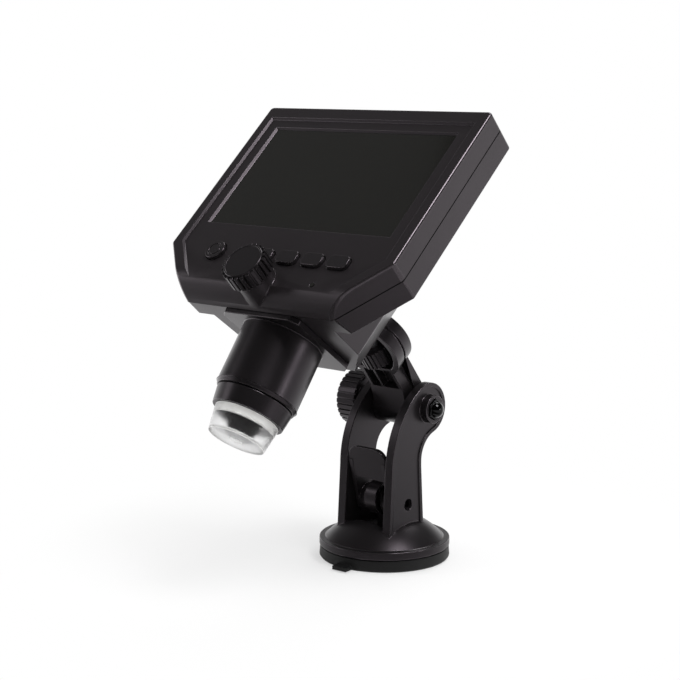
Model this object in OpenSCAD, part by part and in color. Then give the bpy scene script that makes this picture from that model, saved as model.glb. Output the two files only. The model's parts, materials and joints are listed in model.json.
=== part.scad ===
// Digital microscope: a tilted screen head with a camera barrel, on a suction stand.
// Units are millimetres. X is right, Y is back and Z is up.
// The origin is the centre of the suction cup's underside.

/* [Stand] */
// Diameter of the base flange
base_d = 55.6; // [52:0.2:62]
// Height of the rubber cup's rim
cup_h = 4.9; // [4.5:0.1:6]
// Shadow gap between the rubber rim and the flange
cup_seam = 0.4; // [0.2:0.1:0.8]
// Height of the flange's upright rim
flange_h = 3.2; // [2.6:0.1:4]
// Width of the flat ledge round the dome
flange_ledge = 2.6; // [1.6:0.1:4]
// Height of the dome's crown above the flange's ledge
dome_rise = 10.8; // [9.5:0.1:12]
// Clear gap between the two side plates
plate_gap = 21; // [20:0.2:24]
// Thickness of each side plate, with its raised edge
plate_t = 4; // [3.2:0.1:5]
// Height of the raised edge on each plate's outer face
edge_h = 0.5; // [0.2:0.1:1]
// Width of the raised edge
edge_w = 1.8; // [1:0.1:3]
// Height of the tilt pivot above the table
pivot_z = 63.7; // [61:0.1:70]
// Distance of the tilt pivot behind the cup's centre
pivot_y = 12; // [10:0.1:14]
// Outer radius of the plates round the pivot
eye_r = 11; // [10:0.1:12]
// Height where the plates' straight foot turns into the curved neck
waist_z = 40; // [38:0.1:44]
// Front edge of the plates at the waist, in front of the cup's centre
waist_front = 12.4; // [11.5:0.1:14]
// Rear edge of the plates at the waist, behind the cup's centre
waist_rear = 6.9; // [5.5:0.1:8]
// How far the plates widen from the waist down to the dome, each side
foot_flare = 2; // [1:0.1:3]

/* [Stand clamp] */
// Diameter of the clamp bolt's shank
bolt_d = 6; // [5:0.1:6.4]
// Width across the flats of the bolt's hexagon head
bolt_hex = 8; // [7.6:0.1:9]
// Length of the round boss on the right plate
bolt_boss_l = 3; // [2:0.1:4]
// Length of the round boss on the left plate, under the clamp knob
knob_boss_l = 2.6; // [1:0.1:4]
// Diameter of the ribbed clamp knob
clamp_knob_d = 24.4; // [20:0.2:26]
// Length of the ribbed clamp knob
clamp_knob_l = 10.5; // [9:0.1:13]
// Number of grooves round the clamp knob
clamp_knob_ribs = 30; // [20:1:36]

/* [Suction lever] */
// Height of the lever's pin above the table
pin_z = 24.4; // [23.6:0.1:26]
// Distance of the lever's pin in front of the cup's centre
pin_y = 1.3; // [0:0.1:2]
// Diameter of the lever's pin
pin_d = 5; // [4:0.1:5.4]
// Height of the lever's finger tab above its pin
lever_reach = 24.3; // [22:0.1:26]
// Throw of the lever's eccentric
cam_throw = 1.5; // [1:0.1:1.6]
// Turn of the lever from locked to released, degrees
lever_turn = 80; // [60:1:80]
// Diameter of the plunger's rod
rod_d = 6; // [5:0.1:7]
// Diameter of the plunger's foot
foot_d = 16.4; // [14:0.1:17]

/* [Arm] */
// Lift of the arm above level, degrees
arm_lift = 51.9; // [46:0.1:56]
// Distance from the tilt pivot to the middle of the arm's round head
arm_len = 36.2; // [35:0.1:42]
// Width of the arm
arm_w = 17.4; // [15:0.1:19]
// Thickness of the arm
arm_t = 11.1; // [10:0.1:13]
// How far the arm's middle plane sits behind the pivot's axis
arm_set = 2.25; // [1.5:0.05:3]
// Radius of the arm's round head
arm_head_r = 15.8; // [15:0.1:18]
// Height of the flat seat above the middle of the round head
seat_rise = 14.8; // [14:0.1:15.2]
// Wall of the arm's round head
arm_wall = 2.5; // [2:0.1:3]
// Radius of the arm's pivot eye
arm_eye_r = 8.4; // [7.5:0.1:8.8]
// Diameter of the thumb wheel
wheel_d = 16.4; // [14:0.1:18]
// Thickness of the thumb wheel
wheel_t = 9; // [7:0.1:10]
// Number of ridges round the thumb wheel
wheel_ribs = 26; // [18:1:32]
// Diameter of the clamp stud, a quarter-inch camera screw
stud_d = 6.2; // [6:0.05:6.35]

/* [Screen head] */
// Width of the visible picture
view_w = 95; // [90:0.1:110]
// Height of the visible picture
view_h = 53.9; // [50:0.1:62]
// Width of the head beside the picture, each side
side_band = 11.2; // [10:0.1:14]
// Height of the head above the picture
top_band = 12.25; // [11:0.05:16]
// Drop from the picture's lower edge to the head's shoulders
shoulder_drop = 14.15; // [13.5:0.05:16]
// Drop from the picture's lower edge to the lowest point of the chin
chin_drop = 37.05; // [36.5:0.05:39]
// Slant of the lower corners from upright, degrees
corner_slant = 41.7; // [38:0.1:44]
// Radius of the rounded chin
chin_r = 11.4; // [10.5:0.1:12.5]
// Thickness of the slab
slab_t = 18.8; // [18:0.1:22]
// Height of the raised border above the cover glass
rim_n = 1.8; // [1.4:0.1:2.4]
// Height of the recessed panel above the cover glass
panel_n = 0.9; // [0.6:0.1:1.2]
// Depth of the front half, from the raised border to the parting line
front_t = 9.1; // [8.8:0.1:10]
// Wall of the two housing halves
wall = 2; // [1.6:0.1:2.4]
// Width of the raised border at the sides
border_side = 4.7; // [4:0.1:6]
// Width of the raised border at the top
border_top = 6.3; // [5:0.1:7]
// Radius of the top corners
corner_r = 2; // [1:0.1:4]

/* [Rear hump] */
// Half width of the hump where it leaves the slab
hump_w0 = 32.4; // [31:0.1:36]
// Half width of the hump at its rear pad
hump_w1 = 17; // [15:0.1:20]
// Depth where the hump's sides start to slope, behind the glass
hump_knee = 35; // [32:0.1:38]
// Depth of the rear pad behind the glass, on the arm's screw
pad_depth = 53; // [51:0.1:56]
// Height of the arm's screw on the rear pad, below the middle of the screen
pad_low = 25.3; // [22:0.1:28]
// Tilt of the rear pad against the screen, degrees
pad_tilt = 4; // [2:0.1:6]
// Upper end of the rear pad, below the middle of the screen
pad_top = 6; // [2:0.1:10]
// Upper end of the hump's sloping roof, above the middle of the screen
roof_top = 26; // [20:0.1:30]

/* [Controls] */
// Drop from the picture's lower edge to the row of keys
key_drop = 15.9; // [15.6:0.05:17.5]
// Distance between neighbouring function keys
key_pitch = 13; // [12.4:0.1:13.4]
// Place of the first function key, left of the middle
key_start = 5.9; // [4.6:0.1:6.2]
// Width of a function key
key_w = 10; // [8:0.1:10.4]
// Height of a function key
key_h = 6.2; // [5:0.1:7]
// Place of the power button, left of the middle
power_x = 32; // [30:0.1:33]
// Diameter of the power button
power_d = 9; // [7:0.1:9.6]
// Height of the keys above the panel
key_proud = 1.5; // [1:0.1:2]
// Travel of the keys
key_travel = 0.4; // [0.2:0.05:0.5]
// Drop from the picture's lower edge to the focus knob's axis
knob_drop = 28.75; // [28:0.05:29.4]
// Diameter of the focus knob over its ribs
knob_d = 18.8; // [17:0.1:20]
// Depth of the grooves between the focus knob's ribs
knob_groove = 1.1; // [0.8:0.1:1.4]
// Height of the focus knob's face above the glass
knob_top = 13; // [12:0.1:15]
// Diameter of the boss under the focus knob
boss_d = 15.4; // [13:0.1:16]
// Number of grooves round the focus knob
knob_ribs = 24; // [16:1:30]
// Diameter of the focus shaft
shaft_d = 3; // [2.5:0.05:3.2]
// Teeth of the focus pinion
pinion_teeth = 12; // [10:1:14]
// Tooth size of the pinion and the rack (pitch diameter over teeth)
tooth_size = 0.5; // [0.45:0.01:0.55]

/* [Camera barrel] */
// Tilt of the barrel against the screen, degrees
barrel_tilt = 11.4; // [9:0.1:13]
// Drop from the picture's lower edge to the top of the barrel's axis
barrel_drop = 32.35; // [31.6:0.05:33]
// Top of the barrel's axis, behind the glass
barrel_back = 26; // [25:0.1:27]
// Outer diameter of the barrel
barrel_d = 33.4; // [32:0.1:36]
// Length of the barrel below the housing
barrel_l = 29.2; // [28:0.1:34]
// Bore of the barrel
barrel_bore = 28; // [27.6:0.1:28.6]
// Width of the barrel's square flange
flange_w = 40; // [38:0.1:42]
// Reach of the barrel's flange in front of its axis
flange_fore = 18.8; // [18:0.1:19]
// Distance from the barrel's flange to the rear pad
flange_gap = 5.4; // [5:0.1:9]
// Thickness of the barrel's square flange
flange_t = 2.4; // [2:0.1:3]
// Length of the nose ring that shows below the barrel
ring_l = 7; // [6:0.1:9]
// Diameter of the nose ring's upper edge
ring_d0 = 31.4; // [30:0.1:32]
// Diameter of the nose ring's lower edge
ring_d1 = 29.4; // [28.6:0.1:30]
// Length of the clear cap below the nose ring
cap_l = 10.4; // [9:0.1:13]
// Diameter of the clear cap's upper edge
cap_d0 = 26.6; // [26:0.1:28]
// Diameter of the clear cap's end
cap_d1 = 23.4; // [22:0.1:25]
// Wall of the clear cap
cap_wall = 1.2; // [1:0.1:1.5]
// Diameter of the lens nose
nose_d = 13; // [11:0.1:14]
// Stroke of the lens along the barrel, from its lowest place to its highest
lens_stroke = 10.6; // [8:0.1:11]
// Height of the resting lens above its lowest place
lens_rest = 1; // [0.5:0.1:5]

/* [Hidden] */
$fn = 64;

charcoal = [0.17, 0.16, 0.165];
soft_black = [0.07, 0.07, 0.075];
glass_black = [0.03, 0.03, 0.035];
clear_white = [0.93, 0.94, 0.95];
steel = [0.72, 0.73, 0.75];
brass = [0.78, 0.62, 0.3];
board_green = [0.1, 0.32, 0.18];
foil_silver = [0.6, 0.62, 0.65];

// Shared clearances
eps = 0.01;
run_fit = 0.05;
slide_fit = 0.1;
key_gap = 0.2;
seat_gap = 0.1;
free_gap = 0.3;

// Stand heights and radii
base_r = base_d / 2;
flange_z = cup_h + cup_seam;
ledge_z = flange_z + flange_h;
dome_r = base_r - flange_ledge;
dome_ball = (dome_r * dome_r + dome_rise * dome_rise) / (2 * dome_rise);
dome_top = ledge_z + dome_rise;
well_floor = dome_top - 6.7;
well_front = 12;
well_rear = 7;
hollow_r = 13;
hollow_top = well_floor - 3;
plate_in = plate_gap / 2;
plate_out = plate_in + plate_t;

// Side plates: the front arc touches the eye from inside, the rear arc touches it from outside
front_run = pivot_y + waist_front;
front_rise = pivot_z - waist_z;
front_arc = (front_run * front_run + front_rise * front_rise - eye_r * eye_r) / (2 * (front_run - eye_r));
rear_arc_z = waist_z + 2;
rear_run = pivot_y - waist_rear;
rear_rise = pivot_z - rear_arc_z;
rear_arc = (rear_run * rear_run + rear_rise * rear_rise - eye_r * eye_r) / (2 * (eye_r + rear_run));
plate_foot_z = ledge_z;

// Suction mechanism
cam_r = pin_d / 2 + cam_throw + 1.1;
cam_half = 3.4;
lever_half = plate_in - free_gap - 0.4;
plunger_drop = cam_throw * (1 - cos(lever_turn));
foot_top = flange_z + 1.3;
foot_t = 1.7;
cup_pocket_r = foot_d / 2 + 0.4;
cup_pocket_z = foot_top - foot_t - plunger_drop - free_gap;
cup_boss_r = hollow_r - 0.5;

// Arm
arm_front_y = arm_set - arm_t / 2;
arm_back_y = arm_set + arm_t / 2;
split_land = 0.9;
split_inset = 0.9;
split_y0 = arm_set - split_land / 2;
split_y1 = arm_set + split_land / 2;
seat_z = arm_len + seat_rise;
mouth_r = arm_head_r - arm_wall;
mouth_floor = arm_len - 10.1;
mouth_top = seat_z - 4;
wheel_z = mouth_floor + 0.8;
cover_low = arm_eye_r - 2.9;
arm_screw_z = arm_eye_r + 8.2;
stud_tip = seat_z + seat_gap + 7.5;
cover_skin = 1.2;
collar_r = arm_t / 2 - cover_skin - free_gap;

// Screen head, in its own axes: x right, v up the screen, n out of the screen
head_half = view_w / 2 + side_band;
head_w = 2 * head_half;
head_top = view_h / 2 + top_band;
shoulder = view_h / 2 + shoulder_drop;
chin_low = view_h / 2 + chin_drop;
key_low = view_h / 2 + key_drop;
knob_low = view_h / 2 + knob_drop;
barrel_low = view_h / 2 + barrel_drop;
rear_n = rim_n - slab_t;
part_n = rim_n - front_t;
inner_n = panel_n - wall;
chin_v = -chin_low + chin_r;
chin_n = rim_n - chin_r;
outline_low = chin_low + 6;
pad_slope = tan(pad_tilt);

// Electronics, from the glass backwards
glass_t = 1.1;
glass_rim = 2.2;
lcd_t = 3;
lcd_n = inner_n - seat_gap - lcd_t;
lcd_up = view_h / 2 + 5;
lcd_down = view_h / 2 + 8.2;
board_t = 1.6;
board_n = lcd_n - 0.4;
board_back = board_n - board_t;
board_half = head_half - wall - 0.5;
board_low_half = power_x + 7;
board_top = lcd_up - 2;
board_step = lcd_down - 5;
board_low = knob_low + 0.8;
switch_n = -2 - key_travel - 0.2;
shell_screw_top = head_top - wall - 2.6;
shell_screw_xt = head_half - 13.7;
shell_screw_low = shoulder + 3.9;
shell_screw_xl = head_half - 12.7;
post_r = 1.8;
board_screw_x = head_half - wall - post_r - 0.15;
board_screw_up = board_top - 6;
board_screw_down = board_step - 6;
lcd_w = 2 * (board_screw_x - post_r - 0.2);
usb_w = 7.7;
usb_h = 2.8;
usb_v = board_screw_up - 2.25 - usb_w;
card_w = 14;
card_h = 1.6;
card_v = usb_v - 8 - card_w;
led_x = 27;
led_low = view_h / 2 + 27.25;

// Focus drive
pinion_r = pinion_teeth * tooth_size / 2;
tooth_pitch = PI * tooth_size;
backlash = 0.16;
pinion_n0 = -barrel_back + 9.5;
pinion_w = 4;
rack_root = pinion_r + 1.25 * tooth_size;
rack_down = (lens_stroke - lens_rest) * cos(barrel_tilt) + 3;
rack_up = lens_rest * cos(barrel_tilt) + 3;
boss_r = boss_d / 2;
boss_top = rim_n + 3.4;

// Camera barrel, in its own axes: z up into the housing, y towards the rear
bore_r = barrel_bore / 2;
carriage_r = bore_r - slide_fit;
ring_top = -barrel_l - 0.4;
ring_low = ring_top - ring_l;
spigot_r = cap_d0 / 2 - cap_wall - slide_fit;
spigot_l = 3;
cap_low = ring_low - cap_l;
nose_low = cap_low + cap_wall + lens_rest + 0.7;
carriage_top = pinion_r - 0.7 - (lens_stroke - lens_rest);
carriage_low = carriage_top - 17;
lens_r = nose_d / 2 - 2;
sensor_z = pinion_r + 7;
flange_aft = pad_depth - barrel_back - flange_gap;
barrel_screw_x = flange_w / 2 - 3.2;
barrel_screw_fore = flange_fore - 3.2;
barrel_screw_aft = flange_aft - 3.2;

// Places: the stand's pivot, the arm, the screen head and the barrel
module at_pivot() {
    translate([0, pivot_y, pivot_z]) children();
}

module in_arm() {
    at_pivot() rotate([90 - arm_lift, 0, 0]) children();
}

module in_head() {
    in_arm()
        translate([0, arm_set, seat_z + seat_gap])
        rotate([pad_tilt, 0, 0])
        translate([0, pad_low, pad_depth])
        children();
}

module at_pad() {
    translate([0, -pad_low, -pad_depth]) rotate([-pad_tilt, 0, 0]) children();
}

module in_barrel() {
    translate([0, -barrel_low, -barrel_back]) rotate([barrel_tilt - 90, 0, 0]) children();
}

// A flat shape in the Y-Z plane, stretched along X from x0 by t
module sideways(x0, t) {
    translate([x0, 0, 0]) rotate([90, 0, 90]) linear_extrude(t) children();
}

// A flat shape in the X-Z plane, stretched along Y from y0 to y1
module backwards(y0, y1) {
    translate([0, y1, 0]) rotate([90, 0, 0]) linear_extrude(y1 - y0) children();
}

// A piece and its mirror image across the middle plane
module on_both_sides() {
    children();
    mirror([1, 0, 0]) children();
}

// A cylinder along X from x0 to x1
module rod_x(r, x0, x1) {
    translate([x0, 0, 0]) rotate([0, 90, 0]) cylinder(r = r, h = x1 - x0);
}

// A ribbed knob about Z: grooves with a round floor of radius g, cut depth deep in its rim
module ribbed(r, h, ribs, g, depth) {
    difference() {
        cylinder(r = r, h = h);
        for (i = [0 : ribs - 1])
            rotate([0, 0, i * 360 / ribs]) translate([r - depth + g, 0, -1]) {
                cylinder(r = g, h = h + 2, $fn = 24);
                translate([0, -g, 0]) cube([depth, 2 * g, h + 2]);
            }
    }
}

// Stand

// Outline of a side plate, drawn in by inset
module plate_outline(inset) {
    front_c = [front_arc - waist_front, waist_z];
    rear_c = [waist_rear + rear_arc, rear_arc_z];
    to_eye = [pivot_y - front_c[0], pivot_z - front_c[1]] / norm([pivot_y - front_c[0], pivot_z - front_c[1]]);
    difference() {
        union() {
            translate([pivot_y, pivot_z]) circle(eye_r - inset);
            intersection() {
                translate(front_c) circle(front_arc - inset, $fn = 128);
                polygon([
                    [-waist_front - 2, waist_z], [waist_rear - inset, waist_z], [waist_rear - inset, rear_arc_z], rear_c,
                    [pivot_y, pivot_z], [pivot_y, pivot_z] + (eye_r - inset) * to_eye,
                    [-waist_front - 2, pivot_z + eye_r]
                ]);
            }
            polygon([
                [-waist_front + inset, waist_z], [-waist_front - foot_flare + inset, plate_foot_z],
                [waist_rear + foot_flare - inset, plate_foot_z], [waist_rear - inset, waist_z]
            ]);
        }
        translate(rear_c) circle(rear_arc + inset);
    }
}

module dome() {
    cylinder(r = base_r, h = flange_h);
    translate([0, 0, flange_h]) intersection() {
        translate([0, 0, dome_rise - dome_ball]) sphere(r = dome_ball, $fn = 128);
        cylinder(r = dome_r, h = dome_rise + 1);
    }
}

module base_body() {
    color(charcoal) difference() {
        union() {
            translate([0, 0, flange_z]) dome();
            on_both_sides() {
                sideways(plate_in, plate_t - edge_h) plate_outline(0);
                sideways(plate_out - edge_h - eps, edge_h + eps) difference() {
                    plate_outline(0);
                    plate_outline(edge_w);
                }
            }
            at_pivot() rod_x(bolt_hex / 2 + 2, plate_out - edge_h - eps, plate_out + bolt_boss_l);
            at_pivot() rod_x(bolt_hex / 2 + 2, -plate_out - knob_boss_l, -plate_out + edge_h + eps);
        }
        translate([-plate_in, -well_front, well_floor])
            cube([plate_gap, well_front + well_rear, dome_top]);
        translate([0, 0, flange_z - 1]) cylinder(r = hollow_r, h = hollow_top - flange_z + 1);
        cylinder(r = rod_d / 2 + run_fit, h = dome_top);
        translate([0, -pin_y, pin_z]) rod_x(pin_d / 2 + 0.02, -plate_out - 1, plate_out + 1);
        at_pivot() rod_x(bolt_d / 2 + slide_fit, -plate_out - 5, plate_out + 5);
        at_pivot() translate([plate_out - edge_h, 0, 0]) rotate([0, 90, 0])
            cylinder(r = (bolt_hex / 2 + slide_fit) / cos(30), h = bolt_boss_l + 2, $fn = 6);
    }
}

module lever_pin() {
    pin_sunk = 2.4;
    color(steel) translate([0, -pin_y, pin_z]) rod_x(pin_d / 2, -plate_out + pin_sunk, plate_out - pin_sunk);
}

// Rubber cup with a hollow underside, a pocket for the plunger's foot and a pull tab
module suction_cup() {
    rim_in = base_r - 4;
    tab_w = 7;
    tab_l = 4.4;
    tab_turn = 4;
    color(soft_black) difference() {
        union() {
            rotate_extrude($fn = 128) polygon([
                [0, 2], [rim_in * 0.6, 1.6], [rim_in, 0], [base_r - 0.6, 0], [base_r, 0.8],
                [base_r - 0.3, cup_h], [rim_in, cup_h], [rim_in, flange_z], [0, flange_z]
            ]);
            translate([0, 0, flange_z - 1]) cylinder(r = cup_boss_r, h = hollow_top - flange_z + 0.5);
            rotate([0, 0, tab_turn]) translate([-tab_w / 2, -base_r - tab_l, 0.4])
                cube([tab_w, tab_l + 3, 1.6]);
        }
        translate([0, 0, cup_pocket_z]) cylinder(r = cup_pocket_r, h = foot_top + seat_gap - cup_pocket_z);
        translate([0, 0, foot_top]) cylinder(r = rod_d / 2 + 0.6, h = 20);
    }
}

module clamp_bolt() {
    head_t = bolt_boss_l + edge_h + 0.8;
    head_x = plate_out - edge_h;
    dome_h = 2.9;
    color(steel) at_pivot() {
        rod_x(bolt_d / 2, -plate_out - knob_boss_l - clamp_knob_l + 2, head_x + 1);
        translate([head_x, 0, 0]) rotate([0, 90, 0]) cylinder(r = bolt_hex / 2 / cos(30), h = head_t, $fn = 6);
        translate([head_x + head_t - eps, 0, 0]) rotate([0, 90, 0]) intersection() {
            translate([0, 0, dome_h - 3.6]) sphere(r = 3.6);
            cylinder(r = 4, h = dome_h + 1);
        }
    }
}

module clamp_knob() {
    x1 = -plate_out - knob_boss_l - free_gap;
    color(charcoal) at_pivot() difference() {
        translate([x1, 0, 0]) rotate([0, -90, 0]) union() {
            difference() {
                ribbed(clamp_knob_d / 2, clamp_knob_l, clamp_knob_ribs, 0.45, 0.6);
                translate([0, 0, -1]) cylinder(r = clamp_knob_d / 2 - 2, h = 5);
            }
            cylinder(r = bolt_d / 2 + 2.4, h = clamp_knob_l - 1);
        }
        rod_x(bolt_d / 2 + run_fit, x1 - clamp_knob_l + 1.3, 0);
    }
}

// Lever: a leaning finger tab on two webs, with cheeks and an eccentric round the pin
module lever() {
    tab_top = lever_reach;
    tab_low = 10.6;
    lean = 2.7;
    tab_front = 11.6;
    tab_t = 2.4;
    web_t = 2;
    hub_r = cam_r + 1;
    color(charcoal) translate([0, -pin_y, pin_z]) difference() {
        union() {
            intersection() {
                sideways(-lever_half, 2 * lever_half) polygon([
                    [-tab_front, tab_top], [lean - tab_front, tab_low],
                    [lean - tab_front + tab_t, tab_low], [-tab_front + tab_t, tab_top]
                ]);
                backwards(-30, 30) lever_tab(tab_low, tab_top);
            }
            on_both_sides() {
                sideways(lever_half - web_t, web_t) polygon([
                    [lean - tab_front, tab_low], [lean * 0.3 - tab_front, tab_top - 6],
                    [tab_t - tab_front + lean, tab_top - 8], [hub_r * 0.7, hub_r * 0.7],
                    [0, 0], [-hub_r, 0]
                ]);
                rod_x(hub_r, cam_half + free_gap, lever_half);
            }
            translate([0, 0, cam_throw]) rod_x(cam_r, -cam_half - 1, cam_half + 1);
        }
        rod_x(pin_d / 2 + run_fit, -20, 20);
    }
}

// Front outline of the lever's tab, with round upper corners
module lever_tab(z0, z1) {
    r = 5;
    translate([-lever_half, z0]) square([2 * lever_half, z1 - z0 - r]);
    translate([r - lever_half, z0]) square([2 * (lever_half - r), z1 - z0]);
    for (side = [-1, 1])
        translate([side * (lever_half - r), z1 - r]) circle(r);
}

// Plunger: foot, rod and a yoke that the lever's eccentric moves up and down
module plunger() {
    yoke_r = cam_r + free_gap;
    yoke_wall = 1.8;
    sweep = cam_throw * sin(lever_turn);
    yoke_half = cam_half - free_gap;
    color(soft_black) difference() {
        union() {
            translate([0, 0, foot_top - foot_t]) cylinder(r = foot_d / 2, h = foot_t);
            translate([0, 0, foot_top - eps]) cylinder(r = rod_d / 2, h = pin_z - foot_top - cam_r);
            translate([0, -pin_y, pin_z + cam_throw]) {
                rod_x(yoke_r + yoke_wall, -yoke_half, yoke_half);
                translate([0, -sweep, 0]) rod_x(yoke_r + yoke_wall, -yoke_half, yoke_half);
            }
        }
        translate([0, -pin_y, pin_z + cam_throw]) {
            rod_x(yoke_r, -20, 20);
            translate([0, -sweep, 0]) rod_x(yoke_r, -20, 20);
            translate([-20, -sweep, -yoke_r]) cube([40, sweep, 2 * yoke_r]);
        }
    }
}

// Arm

// Outline of the arm: a straight bar with a round head and a flat seat
module arm_outline(inset, low) {
    bar = inset / 6;
    translate([bar - arm_w / 2, low]) square([arm_w - 2 * bar, arm_len - low]);
    intersection() {
        translate([0, arm_len]) circle(arm_head_r - inset, $fn = 96);
        translate([-arm_head_r, 0]) square([2 * arm_head_r, seat_z]);
    }
}

module mouth_outline() {
    intersection() {
        translate([0, arm_len]) circle(mouth_r, $fn = 96);
        translate([-mouth_r, mouth_floor]) square([2 * mouth_r, mouth_top - mouth_floor]);
    }
}

module arm_front() {
    rib_t = 1.2;
    floor_y = split_y0 - 1.6;
    chan_low = arm_eye_r + 5.6;
    chan_high = mouth_floor - 1.6;
    chan_half = arm_w / 2 - 1.8;
    eye_half = plate_in - seat_gap * 2;
    color(charcoal) in_arm() difference() {
        union() {
            backwards(arm_front_y, split_y0) arm_outline(0, 0);
            rod_x(arm_eye_r, -eye_half, eye_half);
            sideways(-arm_w / 2, arm_w) polygon([
                [-arm_eye_r, 0], [split_y0, 0], [split_y0, chan_low], [arm_front_y, chan_low]
            ]);
        }
        backwards(arm_front_y - 1, split_y0 + 1) mouth_outline();
        difference() {
            backwards(arm_front_y - 1, floor_y)
                translate([-chan_half, chan_low]) square([2 * chan_half, chan_high - chan_low]);
            translate([-1.1 - rib_t, arm_front_y, 0]) cube([rib_t, arm_t, arm_len]);
        }
        rod_x(bolt_d / 2 + run_fit, -20, 20);
        translate([0, arm_set, mouth_top - 1]) cylinder(r = stud_d / 2 + slide_fit, h = 20);
        arm_screw_places() rotate([-90, 0, 0]) cylinder(r = 1.05, h = 2 * arm_t, center = true);
    }
}

module arm_screw_places() {
    for (side = [-1, 1])
        translate([side * (arm_w / 2 - 4), arm_set, arm_screw_z]) children();
}

module arm_cover() {
    slot_half = wheel_d / 2 + 0.6;
    color(charcoal) in_arm() difference() {
        union() {
            backwards(split_y1, arm_back_y) arm_outline(0, cover_low);
            backwards(split_y0, split_y1 + eps) arm_outline(split_inset, cover_low);
        }
        backwards(split_y0 - 1, arm_back_y - cover_skin) mouth_outline();
        backwards(split_y0 - 1, arm_back_y + 1)
            translate([-slot_half, mouth_floor]) square([2 * slot_half, wheel_t + 1.6]);
        translate([0, arm_set, mouth_top - 1]) cylinder(r = stud_d / 2 + slide_fit, h = 20);
        rod_x(arm_eye_r + free_gap, -20, 20);
        arm_screw_places() rotate([-90, 0, 0]) cylinder(r = 1.25, h = 2 * arm_t, center = true);
        arm_screw_places() translate([0, 2.6, 0]) rotate([-90, 0, 0]) cylinder(r = 2.3, h = arm_t);
    }
}

module arm_screws() {
    color(steel) in_arm() arm_screw_places() rotate([-90, 0, 0]) {
        translate([0, 0, -2.2]) cylinder(r = 1, h = 5);
        translate([0, 0, 2.6]) cylinder(r = 2.1, h = 1.5);
    }
}

module thumb_wheel() {
    color(soft_black) in_arm() translate([0, arm_set, wheel_z]) difference() {
        ribbed(wheel_d / 2, wheel_t, wheel_ribs, 0.4, 0.6);
        translate([0, 0, 0.8]) cylinder(r = stud_d / 2 + 0.02, h = wheel_t);
    }
}

module clamp_stud() {
    collar_z = wheel_z + wheel_t;
    color(steel) in_arm() translate([0, arm_set, 0]) {
        translate([0, 0, wheel_z + 0.8]) cylinder(r = stud_d / 2, h = stud_tip - wheel_z - 1.4);
        translate([0, 0, stud_tip - 0.6 - eps]) cylinder(r1 = stud_d / 2, r2 = stud_d / 2 - 0.6, h = 0.6);
        translate([0, 0, collar_z]) cylinder(r = collar_r, h = mouth_top - seat_gap - collar_z);
    }
}

// Screen head

// Corners of the head's outline, drawn in by side at the edges and by top at the top edge
function outline_points(side, top) =
    let (half = head_half - side)
    let (bend = -shoulder + side * tan(corner_slant / 2))
    let (low = half - (bend + outline_low) * tan(corner_slant))
    [
        [half, head_top - top], [half, bend], [low, -outline_low],
        [-low, -outline_low], [-half, bend], [-half, head_top - top]
    ];

module head_outline() {
    difference() {
        polygon(outline_points(0, 0));
        for (side = [-1, 1])
            translate([side * head_half, head_top]) square(2 * corner_r, center = true);
    }
    for (side = [-1, 1])
        translate([side * (head_half - corner_r), head_top - corner_r]) circle(corner_r);
}

// Side view of the head's front half, with the round chin drawn in by inset
module chin_outline(inset) {
    translate([chin_v, chin_n]) circle(chin_r - inset, $fn = 96);
    translate([chin_v, rear_n]) square([chin_low + head_top + 10, slab_t - inset]);
}

// Depth of the rear pad's plane at a height v, moved in by t
function pad_n(v, t) = -pad_depth + t / cos(pad_tilt) - (v + pad_low) * pad_slope;

// Side view of the hump, drawn in by t; its lower end runs past the underside
module hump_side(t) {
    low_v = -chin_low - 10;
    polygon([
        [low_v, rear_n + 4], [low_v, pad_n(low_v, t)], [-pad_top - t, pad_n(-pad_top - t, t)],
        [roof_top - t, rear_n + t], [roof_top - t, rear_n + 4]
    ]);
}

// Plan of the hump, drawn in by t
module hump_plan(t) {
    deep = pad_depth + 10;
    tip = hump_w1 - (deep - pad_depth) * (hump_w0 - 1 - hump_w1) / (pad_depth - hump_knee);
    polygon([
        [-hump_w0 + t, rear_n + 5], [hump_w0 - t, rear_n + 5], [hump_w0 - 1 - t, -hump_knee],
        [tip - t, -deep], [t - tip, -deep], [1 + t - hump_w0, -hump_knee]
    ]);
}

module hump(t) {
    intersection() {
        sideways(-head_half, head_w) hump_side(t);
        backwards(-chin_low - 12, head_top) hump_plan(t);
    }
}

// Everything below the sloping underside, raised by t into the housing
module below_underside(t) {
    in_barrel() translate([-head_w, -head_w, t - 60]) cube([2 * head_w, 2 * head_w, 60]);
}

module rear_outer() {
    difference() {
        union() {
            translate([0, 0, rear_n]) linear_extrude(part_n - rear_n) head_outline();
            hump(0);
        }
        below_underside(0);
    }
}

module rear_inner() {
    difference() {
        union() {
            translate([0, 0, rear_n + wall]) linear_extrude(part_n - rear_n)
                polygon(outline_points(wall, wall));
            hump(wall);
        }
        below_underside(wall);
    }
}

// Outline of a function key, grown by g
module key_outline(g) {
    r = 2.3 + g;
    w = key_w + 2 * g;
    h = key_h + 2 * g;
    square([w - 2 * r, h], center = true);
    square([w, h - 2 * r], center = true);
    for (sx = [-1, 1])
        for (sy = [-1, 1])
            translate([sx * (w / 2 - r), sy * (h / 2 - r)]) circle(r, $fn = 32);
}

function key_x(i) = -key_start + i * key_pitch;

module key_places() {
    for (i = [0 : 3])
        translate([key_x(i), -key_low, 0]) children();
}

module shell_screw_places() {
    for (side = [-1, 1]) {
        translate([side * shell_screw_xt, shell_screw_top, 0]) children();
        translate([side * shell_screw_xl, -shell_screw_low, 0]) children();
    }
}

module board_screw_places() {
    for (side = [-1, 1])
        for (v = [board_screw_up, -board_screw_down])
            translate([side * board_screw_x, v, 0]) children();
}

// Sockets on the left edge of the board; grown by g for their openings
module usb_block(g, out) {
    translate([-head_half + 0.4 - out, usb_v - g, board_back - usb_h - g])
        cube([6.8 + out, usb_w + 2 * g, usb_h + 2 * g]);
}

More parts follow.
